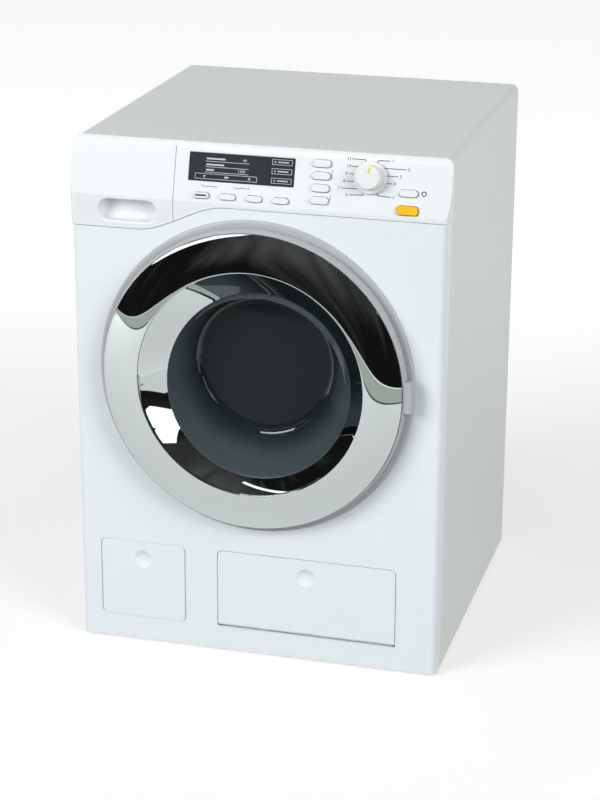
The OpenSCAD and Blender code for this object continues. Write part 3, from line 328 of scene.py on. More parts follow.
    def lathe(self, profile: Sequence[Point], steps: int = 192, closed: bool = True) -> Solid:
        """Spins a profile of radius and height round the z axis.

        Args:
            profile: Its corners, as radius and height.
            steps: How many faces go round.
            closed: Whether the profile is a closed section, and not an open skin that ends on the axis.

        Returns:
            The new solid.
        """
        solid = self.outline(list(profile) + ([profile[0]] if closed else []), closed=False)
        self.put(solid, Matrix.Rotation(math.pi / 2, 4, "X"))
        with self.editing(solid):
            bpy.ops.mesh.select_all(action="SELECT")
            bpy.ops.mesh.remove_doubles(threshold=0.0001)
            bpy.ops.mesh.select_all(action="SELECT")
            bpy.ops.mesh.spin(steps=steps, angle=2 * math.pi, center=(0, 0, 0), axis=(0, 0, 1))
            bpy.ops.mesh.select_all(action="SELECT")
            bpy.ops.mesh.remove_doubles(threshold=0.001)
            bpy.ops.mesh.normals_make_consistent(inside=False)
        return solid

    def change(self, solid: Solid, tool: Solid, how: Cut = Cut.AWAY) -> Solid:
        """Cuts, joins or keeps one solid with another, which is used up.

        Args:
            solid: The solid that is changed.
            tool: The solid that changes it.
            how: What the tool does.

        Returns:
            The changed solid.
        """
        self.take(solid)
        step = solid.modifiers.new("tool", "BOOLEAN")
        step.operation = how.value
        step.solver = "EXACT"
        step.object = tool
        bpy.ops.object.modifier_apply(modifier=step.name)
        bpy.data.objects.remove(tool)
        return solid

    def round_edges(self, solid: Solid, wanted: Callable[[Vector, Vector], bool], width: float,
                    segments: int = 6) -> None:
        """Rounds the edges that satisfy a test.

        Args:
            solid: The solid.
            wanted: Takes the places of an edge's ends.
            width: The radius of the rounding.
            segments: How many faces it has.
        """
        with self.editing(solid, "EDGE"):
            self.pick_edges(solid, wanted)
            bpy.ops.mesh.bevel(offset=width, segments=segments, profile=0.5, affect="EDGES")

    def soften(self, solid: Solid, width: float, segments: int = 2, angle: float = 35.0) -> None:
        """Takes the sharpness off every edge that is sharper than an angle.

        Args:
            solid: The solid.
            width: The width of the softened edge.
            segments: How many faces it has.
            angle: The sharpness, in degrees.
        """
        self.take(solid)
        step = solid.modifiers.new("soften", "BEVEL")
        step.width = width
        step.segments = segments
        step.limit_method = "ANGLE"
        step.angle_limit = math.radians(angle)
        step.miter_outer = "MITER_ARC"
        bpy.ops.object.modifier_apply(modifier=step.name)

    def settle(self, solid: Solid) -> None:
        """Puts the object's place into its mesh."""
        self.take(solid)
        bpy.ops.object.transform_apply(location=True, rotation=True, scale=True)

    def put(self, solid: Solid, place: Matrix) -> Solid:
        """Moves a solid to a place and keeps the move in its mesh.

        Args:
            solid: The solid.
            place: The move.

        Returns:
            The moved solid.
        """
        solid.matrix_world = place
        self.settle(solid)
        return solid

    def seat_rings(self, solid: Solid, levels: Sequence[float],
                   seat: Callable[[float], tuple[float, float, float]]) -> None:
        """Slides and leans the rings of a turned solid, each by the amounts for its height.

        Args:
            solid: The solid, turned about z.
            levels: The heights of its rings.
            seat: Returns a ring's shift in x and y and how far its +y side leans back, in radians.
        """
        rings = {level: {corner.index for corner in solid.data.vertices if abs(corner.co.z - level) < 0.0005}
                 for level in levels}
        for level, ring in rings.items():
            x, y, lean = seat(level)
            with self.editing(solid):
                shape = bmesh.from_edit_mesh(solid.data)
                for corner in shape.verts:
                    corner.select_set(corner.index in ring)
                bmesh.update_edit_mesh(solid.data)
                bpy.ops.transform.translate(value=(x, y, 0))
                bpy.ops.transform.rotate(value=lean, orient_axis="X", center_override=(x, y, level))

    def merge(self, solids: Sequence[Solid]) -> Solid:
        """Joins separate solids into one object, without cutting them.

        Args:
            solids: The solids.

        Returns:
            The joined object.
        """
        self.take(*solids)
        bpy.ops.object.join()
        return solids[0]

    def copy(self, solid: Solid, place: Matrix) -> Solid:
        """Copies a solid with its own mesh.

        Args:
            solid: The solid.
            place: Where the copy goes, from the solid's own place.

        Returns:
            The copy.
        """
        twin = solid.copy()
        twin.data = solid.data.copy()
        bpy.context.collection.objects.link(twin)
        return self.put(twin, place)

    def finish(self, solid: Solid, name: str, place: Matrix = Matrix.Identity(4),
               smooth: float = 38.0) -> Solid:
        """Moves a solid to its place in the part, smooths its shading and names it.

        Args:
            solid: The solid, in millimetres.
            name: Its plain name.
            place: Its place in the panel's frame.
            smooth: The angle under which neighbouring faces shade as one, in degrees.

        Returns:
            The finished solid.
        """
        self.put(solid, CASE.panel_frame() @ place)
        bpy.ops.object.shade_smooth_by_angle(angle=math.radians(smooth))
        step = solid.modifiers.new("shading", "WEIGHTED_NORMAL")
        step.keep_sharp = True
        bpy.ops.object.modifier_apply(modifier=step.name)
        solid.name = name
        solid.data.name = name
        return solid


BENCH = Bench()


def arc(centre: Point, radius: float, start: float, end: float, steps: int = 8) -> list[Point]:
    """Returns points along an arc."""
    turns = [math.radians(start + (end - start) * i / steps) for i in range(steps + 1)]
    return [(centre[0] + radius * math.cos(t), centre[1] + radius * math.sin(t)) for t in turns]


def curve(start: Point, pull: Point, end: Point, steps: int = 8) -> list[Point]:
    """Returns points along a bend from start to end.

    Args:
        start: Where it starts.
        pull: The corner that it cuts.
        end: Where it ends.
        steps: How many pieces it is drawn in.
    """
    shares = [i / steps for i in range(steps + 1)]
    return [tuple(a * (1 - s) ** 2 + 2 * b * s * (1 - s) + c * s * s for a, b, c in zip(start, pull, end))
            for s in shares]


def rounded(low: Point, high: Point, radius: float, steps: int = 8) -> list[Point]:
    """Returns the outline of a rectangle with round corners.

    Args:
        low: Its lowest corner.
        high: Its highest corner.
        radius: The radius of its corners.
        steps: How many pieces each corner has.
    """
    x0, y0, x1, y1 = low[0] + radius, low[1] + radius, high[0] - radius, high[1] - radius
    corners = [((x1, y1), 0), ((x0, y1), 90), ((x0, y0), 180), ((x1, y0), 270)]
    return [p for centre, turn in corners for p in arc(centre, radius, turn, turn + 90, steps)]


def pill(width: float, height: float, middle: Point = (0, 0), steps: int = 16) -> list[Point]:
    """Returns the outline of a bar with round ends.

    Args:
        width: Its whole width.
        height: Its height.
        middle: Its middle.
        steps: How many pieces each end has.
    """
    run = (width - height) / 2
    right = arc((middle[0] + run, middle[1]), height / 2, -90, 90, steps)
    left = arc((middle[0] - run, middle[1]), height / 2, 90, 270, steps)
    return right + left


# ---------------------------------------------------------------- finishes


class Socket:
    """One output of a shader node, with arithmetic that adds Math nodes."""

    def __init__(self, shader: "Shader", plug: bpy.types.NodeSocket) -> None:
        """Wraps a node's output."""
        self.shader = shader
        self.plug = plug

    def _sum(self, operation: str, *values: "Socket | float") -> "Socket":
        """Returns the result of one Math node."""
        return self.shader.node("ShaderNodeMath", {"operation": operation}, dict(enumerate(values)))

    def __add__(self, other: "Socket | float") -> "Socket":
        """Returns the sum."""
        return self._sum("ADD", self, other)

    def __sub__(self, other: "Socket | float") -> "Socket":
        """Returns the difference."""
        return self._sum("SUBTRACT", self, other)

    def __rsub__(self, other: "Socket | float") -> "Socket":
        """Returns the difference, taken from the other value."""
        return self._sum("SUBTRACT", other, self)

    def __mul__(self, other: "Socket | float") -> "Socket":
        """Returns the product."""
        return self._sum("MULTIPLY", self, other)

    def __truediv__(self, other: "Socket | float") -> "Socket":
        """Returns the quotient."""
        return self._sum("DIVIDE", self, other)

    def __gt__(self, other: "Socket | float") -> "Socket":
        """Returns 1 where this is greater, and 0 elsewhere."""
        return self._sum("GREATER_THAN", self, other)

    __radd__ = __add__
    __rmul__ = __mul__

    def clamped(self) -> "Socket":
        """Returns the value kept between 0 and 1."""
        return self._sum("MINIMUM", self._sum("MAXIMUM", self, 0.0), 1.0)


class Shader:
    """A material under construction."""

    def __init__(self, name: str) -> None:
        """Starts a material with only a surface and its output.

        Args:
            name: Its plain name.
        """
        self.material = bpy.data.materials.new(name)
        self.material.use_nodes = True
        self.tree = self.material.node_tree
        self.tree.nodes.clear()
        self.surface = self.tree.nodes.new("ShaderNodeBsdfPrincipled")
        output = self.tree.nodes.new("ShaderNodeOutputMaterial")
        self.tree.links.new(self.surface.outputs[0], output.inputs["Surface"])

    def node(self, kind: str, settings: dict[str, object], values: dict[int | str, object],
             result: int | str = 0) -> Socket:
        """Adds a node and returns one of its outputs.

        Args:
            kind: The node's type.
            settings: Its own settings, and "stops" for a ramp's places and colours.
            values: A value or a link for each input, by its name or number.
            result: The output that is returned.

        Returns:
            The output.
        """
        made = self.tree.nodes.new(kind)
        for key, value in settings.items():
            if key == "stops":
                self._stops(made, value)
            else:
                setattr(made, key, value)
        for key, value in values.items():
            if isinstance(value, Socket):
                self.tree.links.new(value.plug, made.inputs[key])
            else:
                made.inputs[key].default_value = value
        return Socket(self, made.outputs[result])

    def _stops(self, ramp: bpy.types.Node, stops: Sequence[tuple[float, Sequence[float]]]) -> None:
        """Sets a colour ramp's stops."""
        bar = ramp.color_ramp.elements
        while len(bar) < len(stops):
            bar.new(0.5)
        for spot, (place, colour) in zip(bar, stops):
            spot.position = place
            spot.color = (*colour, 1)

    def place(self) -> Socket:
        """Returns the place on the object, in metres."""
        return self.node("ShaderNodeTexCoord", {}, {}, "Object")

    def noise(self, scale: float, detail: float = 3.0, stretch: Sequence[float] = (1, 1, 1)) -> Socket:
        """Returns soft random values from 0 to 1."""
        spot = self.node("ShaderNodeMapping", {}, {"Vector": self.place(), "Scale": stretch})
        return self.node("ShaderNodeTexNoise", {}, {"Vector": spot, "Scale": scale, "Detail": detail})

    def blend(self, share: Socket, first: Sequence[float], second: Sequence[float]) -> Socket:
        """Returns a colour between two."""
        return self.node("ShaderNodeMix", {"data_type": "RGBA"},
                         {0: share, 6: (*first, 1), 7: (*second, 1)}, 2)

    def feed(self, name: str, value: "Socket | float | Sequence[float]") -> None:
        """Sets or links one input of the surface.

        Args:
            name: The input.
            value: What it takes.
        """
        if isinstance(value, Socket):
            self.tree.links.new(value.plug, self.surface.inputs[name])
        else:
            self.surface.inputs[name].default_value = value

    def bump(self, height: Socket, depth: float, strength: float = 1.0) -> None:
        """Gives the surface a fine relief.

        Args:
            height: The relief, from 0 to 1.
            depth: How deep 1 is, in metres.
            strength: How much of it shows.
        """
        relief = self.node("ShaderNodeBump", {}, {"Height": height, "Distance": depth, "Strength": strength},
                           "Normal")
        self.feed("Normal", relief)


def shade(colour: Colour, factor: float, lift: float = 0.0) -> Colour:
    """Returns a colour made darker or paler."""
    return tuple(min(1.0, part * factor + lift) for part in colour)


@dataclass(frozen=True)
class Plastic:
    """Moulded plastic: a faint cloudiness, a fine orange-peel relief and uneven gloss."""

    name: str
    colour: Colour
    roughness: float = 0.28
    cloud: float = 0.02
    cloud_scale: float = 35.0
    wear: float = 0.10
    wear_scale: float = 160.0
    relief: float = 0.000012
    relief_scale: float = 900.0
    coat: float = 0.0

    def material(self) -> bpy.types.Material:
        """Returns the material."""
        shader = Shader(self.name)
        darker = shade(self.colour, 1 - self.cloud)
        lighter = shade(self.colour, 1 + self.cloud / 2)
        clouds = shader.noise(self.cloud_scale, 4.0)
        shader.feed("Base Color", shader.blend(clouds, darker, lighter))
        rubbed = shader.noise(self.wear_scale, 5.0)
        shader.feed("Roughness", rubbed * self.wear + (self.roughness - self.wear / 2))
        shader.feed("Coat Weight", self.coat)
        shader.bump(shader.noise(self.relief_scale, 2.0), self.relief)
        return shader.material


@dataclass(frozen=True)
class Plating:
    """Bright plating on plastic: a clean mirror with a trace of haze and a very faint waviness."""

    name: str
    colour: Colour = (0.545, 0.592, 0.588)
    dulling: float = 0.97
    haze_scale: float = 60.0
    roughness: float = 0.01
    haze_roughness: float = 0.02
    wave: float = 0.00001
    wave_scale: float = 22.0

    def material(self) -> bpy.types.Material:
        """Returns the material."""
        shader = Shader(self.name)
        haze = shader.noise(self.haze_scale, 4.0)
        shader.feed("Base Color", shader.blend(haze, shade(self.colour, self.dulling), self.colour))
        shader.feed("Metallic", 1.0)
        shader.feed("Roughness", haze * self.haze_roughness + self.roughness)
        shader.bump(shader.noise(self.wave_scale, 1.0), self.wave)
        return shader.material


@dataclass(frozen=True)
class SmokedPlastic:
    """Dark see-through plastic of the window: painted shade makes it darker on its deep floor and paler
    towards its collar; glossy all over but on its floor.
    """

    name: str
    # The dark floor colour and the paler wall colour are painted shade and painted light of the bowl's depth.
    colour: Colour = (0.011, 0.018, 0.021)
    wall: Colour = (0.058, 0.076, 0.083)
    haze_scale: float = 40.0
    haze: float = 0.04
    floor_y: float = -0.0670
    fade: float = 0.014
    gloss_y: float = -0.0660
    gloss_fade: float = 0.0005
    roughness: float = 0.03
    opacity: float = 0.95
    mirror: float = 0.12
    wave: float = 0.00003
    wave_scale: float = 30.0

    def material(self) -> bpy.types.Material:
        """Returns the material."""
        shader = Shader(self.name)
        haze = shader.noise(self.haze_scale, 3.0)
        depth = shader.node("ShaderNodeSeparateXYZ", {}, {0: shader.place()}, "Y")
        # Painted shade: the colour blends from the wall's towards the floor's the deeper a spot lies, with
        # random haze in the blend.
        rise = ((self.floor_y - depth) * (1 / self.fade) + (haze - 0.5) * 0.5).clamped()
        shader.feed("Base Color", shader.blend(rise, self.colour, self.wall))
        shader.feed("Roughness", haze * self.haze + self.roughness)
        shader.feed("Alpha", haze * self.haze + (self.opacity - self.haze / 2))
        shader.feed("Specular IOR Level", self.mirror)
        shader.feed("Coat Weight", ((self.gloss_y - depth) * (1 / self.gloss_fade)).clamped())
        shader.bump(shader.noise(self.wave_scale, 1.0), self.wave)
        return shader.material


@dataclass(frozen=True)
class Metal:
    """Turned or drawn metal with fine marks along one direction."""

    name: str
    colour: Colour = (0.62, 0.62, 0.61)
    dulling: float = 0.82
    roughness: float = 0.28
    unevenness: float = 0.16
    grain: tuple[float, float, float] = (1.0, 12.0, 1.0)
    grain_scale: float = 420.0
    grain_depth: float = 0.000015

    def material(self) -> bpy.types.Material:
        """Returns the material."""
        shader = Shader(self.name)
        lines = shader.noise(self.grain_scale, 3.0, self.grain)
        shader.feed("Base Color", shader.blend(lines, shade(self.colour, self.dulling), self.colour))
        shader.feed("Metallic", 1.0)
        shader.feed("Roughness", lines * self.unevenness + self.roughness - self.unevenness / 2)
        shader.bump(lines, self.grain_depth)
        return shader.material


@dataclass(frozen=True)
class Rubber:
    """Soft rubber with a matt, slightly dusty skin."""

    name: str
    colour: Colour
    dust_scale: float = 220.0
    roughness: float = 0.7
    dust: float = 0.15
    relief: float = 0.00003
    relief_scale: float = 1500.0

    def material(self) -> bpy.types.Material:
        """Returns the material."""
        shader = Shader(self.name)
        dust = shader.noise(self.dust_scale, 5.0)
        shader.feed("Base Color", shader.blend(dust, self.colour, shade(self.colour, 1.5, 0.01)))
        shader.feed("Roughness", dust * self.dust + self.roughness)
        shader.bump(shader.noise(self.relief_scale, 2.0), self.relief)
        return shader.material


@dataclass(frozen=True)
class BoardLacquer:
    """Green circuit board with paler tracks."""

    name: str
    colour: Colour = (0.03, 0.16, 0.07)
    track_scale: float = 260.0
    track_height: float = 0.00004
    roughness: float = 0.35

    def material(self) -> bpy.types.Material:
        """Returns the material."""
        shader = Shader(self.name)
        lanes = shader.node("ShaderNodeTexVoronoi", {"distance": "MANHATTAN"},
                            {"Vector": shader.place(), "Scale": self.track_scale}, "Distance")
        tracks = ((lanes - 0.42) * 12.0).clamped()
        shader.feed("Base Color", shader.blend(tracks, self.colour, shade(self.colour, 2.2, 0.02)))
        shader.feed("Roughness", tracks * 0.2 + self.roughness)
        shader.bump(tracks, self.track_height)
        return shader.material


class Slot(Enum):
    """The part's material slots, each with its finish."""

    WHITE_SHELL = Plastic("white_shell", (0.765, 0.830, 0.860), 0.30)
    CASING_WHITE = Plastic("casing_white", (0.635, 0.690, 0.668), 0.30)
    WHITE_FASCIA = Plastic("white_fascia", (0.765, 0.800, 0.820), 0.30)
    SILVER_GREY = Plastic("silver_grey", (0.43, 0.445, 0.465), 0.32, cloud=0.03)
    WHITE_INNER = Plastic("white_inner", (0.74, 0.75, 0.75), 0.45, relief=0.00003)
    GREY_INNER = Plastic("grey_inner", (0.42, 0.44, 0.45), 0.45, relief=0.00003)
    BUTTON_WHITE = Plastic("button_white", (0.755, 0.775, 0.785), 0.30)
    BUTTON_YELLOW = Plastic("button_yellow", (0.87, 0.50, 0.012), 0.30, cloud=0.04)
    BRIGHT_PLATING = Plating("bright_plating")
    SMOKED = SmokedPlastic("smoked")
    DISPLAY_DARK = Plastic("display_dark", (0.030, 0.033, 0.037), 0.22, cloud=0.15, coat=0.3)
    DRUM_METAL = Plastic("drum_silver", (0.38, 0.39, 0.40), 0.35, cloud=0.05)
    STEEL = Metal("steel")
    BRASS_BUSH = Metal("brass", (0.72, 0.50, 0.20), roughness=0.3)
    GEAR_PLASTIC = Plastic("gear_plastic", (0.72, 0.68, 0.56), 0.5, relief=0.00003)
    BLACK_RUBBER = Rubber("black_rubber", (0.012, 0.012, 0.013))
    GREY_RUBBER = Rubber("grey_rubber", (0.16, 0.165, 0.17))
    BOARD_GREEN = BoardLacquer("board_green")
    BLACK_PART = Plastic("black_part", (0.02, 0.02, 0.022), 0.4, cloud=0.2)
    CELL_WRAP = Plastic("cell_wrap", (0.09, 0.10, 0.11), 0.25, cloud=0.2)


class Ink(Enum):
    """Finishes of the printed marks, which lie on pieces of other slots."""

    FASCIA = Plastic("grey_ink", (0.035, 0.040, 0.045), 0.5, cloud=0.1)
    DISPLAY = Plastic("display_marks", (0.52, 0.56, 0.60), 0.5, cloud=0.1)
    POINTER = Plastic("pointer_ink", (0.76, 0.70, 0.04), 0.4, cloud=0.06)


FINISH = {finish: finish.value.material() for finish in (*Slot, *Ink)}


def dress(solid: Solid, slot: Slot, body: str, node: str | None = None, ink: Ink | None = None) -> Solid:
    """Gives a finished piece its material and its body, and hides the node that it stands for.

    Args:
        solid: The piece.
        slot: Its material slot.
        body: The body that it moves with.
        node: The node that it replaces, if it replaces one.
        ink: The ink that it is printed in, if it isn't finished as its slot is.

    Returns:
        The piece.
    """
    solid.data.materials.clear()
    solid.data.materials.append(FINISH[ink or slot])
    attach(solid, body)
    if node:
        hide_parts(node)
    LOG.info("%s rides on %s", solid.name, body)
    return solid


def dress_node(node: str, slot: Slot) -> None:
    """Gives one of the part's own nodes its finish.

    Args:
        node: The node.
        slot: Its material slot.
    """
    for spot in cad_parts[node].material_slots:
        spot.material = FINISH[slot]
    LOG.info("%s keeps its own shape", node)


# ---------------------------------------------------------------- casing


def plan(half: float, front: float, rear: float, front_radius: float, rear_radius: float) -> list[Point]:
    """Returns a casing part's outline from above, with round front or rear corners.

    Args:
        half: Half of its width.
        front: Depth of its front.
        rear: Depth of its rear.
        front_radius: Radius of its front corners, or 0.
        rear_radius: Radius of its rear corners, or 0.
    """
    corners = [(half, rear, rear_radius, 0), (-half, rear, rear_radius, 90),
               (-half, front, front_radius, 180), (half, front, front_radius, 270)]
    points: list[Point] = []
    for x, y, radius, turn in corners:
        if radius:
            middle = (x - math.copysign(radius, x), y - math.copysign(radius, y - (front + rear) / 2))
            points += arc(middle, radius, turn, turn + 90)
        else:
            points.append((x, y))
    return points


@dataclass
class Casing:
    """The fixed shells: cabinet, back cover with its hatch, and their screws."""

    rim_height: float = 12.0
    rim_out: float = 2.0
    edge: float = 0.3
    dimple_place: Point = (-66.0, 26.0)
    dimple_radius: float = 30.0
    dimple_depth: float = 0.45
    hatch_low: Point = (-74.0, 5.7)
    hatch_high: Point = (22.0, 64.8)
    hatch_corner: float = 2.5
    hatch_gap: float = 0.3
    hatch_screw_drop: float = 5.0
    ledge: float = 2.5
    latch_room: float = 7.0
    screw_x: float = 85.0
    screw_heights: Point = (20.0, 232.0)
    screw_head: float = 2.8
    shank: float = 1.3
    shank_length: float = 11.0
    head_depth: float = 1.2
    speaker: Point = (50.0, 208.0)
    speaker_radius: float = 12.0
    slot_pitch: float = 3.4
    slot_height: float = 1.6
    rib_pitch: float = 1.6
    rib_start: float = 8.0
    rib_half: float = 8.0
    post_radius: float = 4.0
    post_length: float = 16.0

    @property
    def back(self) -> float:
        """Depth of the back cover's outer face."""
        return CASE.depth - self.rim_out

    @property
    def screw_spots(self) -> list[Point]:
        """Places of the cover's four screws, across and up."""
        return [(side * self.screw_x, height) for side in (-1, 1) for height in self.screw_heights]

    @property
    def hatch_screw(self) -> Point:
        """Place of the hatch's screw."""
        return (self.hatch_low[0] + self.hatch_high[0]) / 2, self.hatch_high[1] - self.hatch_screw_drop

    def long_edges(self, top: float) -> Callable[[Vector, Vector], bool]:
        """Returns a test of the edges that run from front to rear at a block's top."""
        return lambda a, b: min(a.z, b.z) > top - 0.01 and abs(a.x - b.x) < 0.01

    def cabinet(self) -> Solid:
        """Returns the two side walls and the top in one moulding."""
        low = (-CASE.half, CASE.seam_depth + 0.1, CASE.foot)
        shell = BENCH.block(low, (CASE.half, CASE.depth + 1, CASE.height))
        BENCH.round_edges(shell, self.long_edges(CASE.height), CASE.top_corner, 10)
        outline = plan(CASE.half - CASE.hair, 0, CASE.depth, 0, CASE.corner)
        BENCH.change(shell, BENCH.prism(outline, -1, CASE.height + 1, Axis.Z), Cut.KEEP)
        cavity = BENCH.block((-CASE.inner, 0, -1), (CASE.inner, self.back, CASE.height - CASE.wall))
        BENCH.round_edges(cavity, self.long_edges(CASE.height - CASE.wall), CASE.top_corner - CASE.wall, 6)
        BENCH.change(shell, cavity)
        below_rim = BENCH.block((-CASE.width, self.back, -1),
                                (CASE.width, CASE.depth + 1, CASE.height - self.rim_height))
        BENCH.change(shell, below_rim)
        x, y = self.dimple_place
        centre = (x, y, CASE.height + self.dimple_radius - self.dimple_depth)
        BENCH.change(shell, BENCH.ball(self.dimple_radius, centre))
        BENCH.soften(shell, self.edge)
        inside = self.back - CASE.wall
        posts = [BENCH.rod(self.post_radius, inside - self.post_length, inside, spot, Axis.Y, 32)
                 for spot in self.screw_spots]
        return BENCH.finish(BENCH.merge([shell, *posts]), "cabinet_shell")

    def back_cover(self) -> Solid:
        """Returns the flat rear cover with its slots, its screw holes and the hatch's opening."""
        inside = self.back - CASE.wall
        cover = BENCH.block((-CASE.inner, inside, CASE.foot + CASE.wall),
                            (CASE.inner, self.back, CASE.height - self.rim_height))
        opening = rounded(self.hatch_low, self.hatch_high, self.hatch_corner)
        BENCH.change(cover, BENCH.prism(opening, inside + CASE.wall / 2, self.back + 1))
        low = (self.hatch_low[0] + self.ledge, self.hatch_low[1] + self.ledge)
        high = (self.hatch_high[0] - self.ledge, self.hatch_high[1] - self.ledge - self.latch_room)
        BENCH.change(cover, BENCH.prism(rounded(low, high, 2), inside - 1, self.back + 1))
        for spot in self.screw_spots:
            start = self.back - self.head_depth
            BENCH.change(cover, BENCH.rod(self.screw_head + 0.3, start, self.back + 1, spot, Axis.Y, 48))
        for row in range(-3, 4):
            drop = row * self.slot_pitch
            width = 2 * math.sqrt(self.speaker_radius ** 2 - drop ** 2)
            bar = pill(width, self.slot_height, (self.speaker[0], self.speaker[1] + drop), 8)
            BENCH.change(cover, BENCH.prism(bar, inside - 1, self.back + 1))
        BENCH.soften(cover, self.edge)
        return BENCH.finish(cover, "rear_cover")

    def battery_cover(self) -> Solid:
        """Returns the hatch over the cells, with finger ribs and a screw seat."""
        low = (self.hatch_low[0] + self.hatch_gap, self.hatch_low[1] + self.hatch_gap)
        high = (self.hatch_high[0] - self.hatch_gap, self.hatch_high[1] - self.hatch_gap)
        corner = self.hatch_corner - self.hatch_gap
        hatch = BENCH.prism(rounded(low, high, corner), self.back - CASE.wall / 2, self.back)
        middle = self.hatch_screw[0]
        seat = BENCH.rod(self.screw_head + 0.1, self.back - self.head_depth / 2, self.back + 1,
                         self.hatch_screw, Axis.Y, 48)
        BENCH.change(hatch, seat)
        for row in range(-2, 3):
            height = self.hatch_low[1] + self.rib_start + row * self.rib_pitch
            low_end = (middle - self.rib_half, self.back - 0.5, height)
            high_end = (middle + self.rib_half, self.back + 1, height + self.rib_pitch / 2)
            BENCH.change(hatch, BENCH.block(low_end, high_end))
        BENCH.soften(hatch, 0.2)
        return BENCH.finish(hatch, "battery_hatch")

    def screws(self) -> Solid:
        """Returns the five screws with crossed recesses."""
        head = BENCH.rod(self.screw_head, -self.head_depth, 0, sides=48)
        BENCH.round_edges(head, both(lambda end: end.z > -0.01), 0.5, 4)
        for turn in (0, math.pi / 2):
            cross = BENCH.block((-1.5, -0.35, -0.7), (1.5, 0.35, 1))
            BENCH.change(head, BENCH.put(cross, Matrix.Rotation(turn, 4, "Z")))
        screw = BENCH.merge([head, BENCH.rod(self.shank, -self.shank_length, -1, sides=32)])
        outward = Matrix.Rotation(-math.pi / 2, 4, "X")
        spots = [*self.screw_spots, self.hatch_screw]
        places = [Matrix.Translation((x, self.back, z)) @ outward for x, z in spots]
        places[-1] = places[-1] @ Matrix.Diagonal((0.92, 0.92, 0.19, 1))
        copies = [BENCH.copy(screw, place) for place in places]
        bpy.data.objects.remove(screw)
        return BENCH.finish(BENCH.merge(copies), "rear_screws")

    def build(self) -> None:
        """Builds and dresses the casing."""
        dress(self.cabinet(), Slot.CASING_WHITE, "casing", "cabinet")
        dress(self.back_cover(), Slot.WHITE_INNER, "casing", "back_cover")
        dress(self.battery_cover(), Slot.WHITE_INNER, "casing", "battery_cover")
        dress(self.screws(), Slot.STEEL, "casing", "cover_screws")


@dataclass
class FrontPanel:
    """The lower front: the door's raised seat, the flap's opening and the outline of a second cover."""

    door_height: float = 147.3
    mouth: float = 57.3
    seat: float = 79.0
    flap_low: Point = (-20.4, 13.0)
    flap_high: Point = (71.4, 55.0)
    cover_x: Point = (-81.8, -36.9)
    groove: float = 0.6
    dimple_ball: float = 10.0
    dimple_out: float = 8.8
    dimple_drop: float = 9.8
    hinge_slot: Point = (-76.0, -68.9)
    hook_slot: Point = (67.5, 72.5)
    slot_half: Point = (6.8, 4.8)
    square_corner: float = 0.8
    band_start: float = 74.4
    band_thick: float = 0.06

    def seat_ring(self) -> Solid:
        """Returns the raised ring round the door, with a rounded outer edge."""
        edge = CASE.seat_height
        rounding = arc((self.seat - edge, 0), edge, 90, 0, 10)
        inside = self.mouth - 2
        profile = [(inside, -1.0), (inside, edge), *rounding, (self.seat, -1.0)]
        return BENCH.put(BENCH.lathe(profile), CASE.out_at(0, self.door_height))

    def seat_band(self) -> Solid:
        """Returns the thin grey band that covers the seat round the door."""
        edge, start = CASE.seat_height, self.band_start
        high, low = edge + self.band_thick, edge - 0.1
        over = arc((self.seat - edge, 0), high, 90, 0, 10)
        under = arc((self.seat - edge, 0), low, 0, 90, 10)
        band = BENCH.lathe([(start, high), *over, *under, (start, low)], 256)
        return BENCH.finish(band, "seat_band", CASE.out_at(0, self.door_height), smooth=40)

    def panel(self) -> Solid:
        """Returns the front panel."""
        side = CASE.half + 1
        front = [(-side, CASE.foot), (side, CASE.foot), (side, CASE.panel_top),
                 *CASE.sweep_points(CASE.sweep[1], CASE.sweep[0], 0), (-side, CASE.drawer_low)]
        panel = BENCH.prism(front, 0, CASE.seam_depth - 0.1)
        outline = plan(CASE.half, -CASE.hair, CASE.seam_depth + 5, CASE.corner, 0)
        BENCH.change(panel, BENCH.prism(outline, -1, CASE.height, Axis.Z), Cut.KEEP)
        cavity = BENCH.block((-CASE.inner, CASE.wall, CASE.foot + CASE.wall),
                             (CASE.inner, CASE.seam_depth + 1, CASE.height))
        BENCH.change(panel, cavity)
        BENCH.change(panel, self.seat_ring(), Cut.JOIN)
        for hole in self.holes():
            BENCH.change(panel, hole)
        BENCH.soften(panel, 0.18)
        low = self.flap_low[1]
        bosses = [BENCH.block((start, CASE.wall - 0.2, low - 1), (end, 4.6, low + 5))
                  for start, end in ((self.flap_low[0] - 4, self.flap_low[0] - 0.35),
                                     (self.flap_high[0] + 0.35, self.flap_high[0] + 4))]
        return BENCH.finish(BENCH.merge([panel, *bosses]), "lower_front", smooth=30)

    def holes(self) -> Iterator[Solid]:
        """Makes what the panel loses: its mouth, slots, the flap's opening and the cover's outline."""
        sides = 192
        half_step = Matrix.Rotation(math.pi / sides, 4, "Y")
        mouth = BENCH.rod(self.mouth, -5, 5, axis=Axis.Y, sides=sides)
        yield BENCH.put(mouth, Matrix.Translation((0, 0, self.door_height)) @ half_step)
        for (x0, x1), half in zip((self.hinge_slot, self.hook_slot), self.slot_half):
            yield BENCH.block((x0, -5, self.door_height - half), (x1, 5, self.door_height + half))
        opening = rounded(self.flap_low, self.flap_high, CASE.corner)
        lower_part = rounded(self.flap_low, (self.flap_high[0], self.flap_high[1] - 8), self.square_corner)
        for hole in (opening, lower_part):
            yield BENCH.prism(hole, -1, CASE.wall + 1)
        x0, x1 = self.cover_x
        z0, z1 = self.flap_low[1], self.flap_high[1]
        trench = BENCH.prism(rounded((x0, z0), (x1, z1), CASE.corner), -1, self.groove)
        inner_low = (x0 + self.groove, z0 + self.groove)
        inner_high = (x1 - self.groove, z1 - self.groove)
        island = BENCH.prism(rounded(inner_low, inner_high, CASE.corner - self.groove), -2, self.groove + 1)
        yield BENCH.change(trench, island)
        yield BENCH.ball(self.dimple_ball, ((x0 + x1) / 2, -self.dimple_out, z1 - self.dimple_drop))

    def build(self) -> None:
        """Builds and dresses the front panel."""
        dress(self.panel(), Slot.WHITE_SHELL, "casing", "front_panel")
        dress(self.seat_band(), Slot.SILVER_GREY, "casing")


# ---------------------------------------------------------------- controls


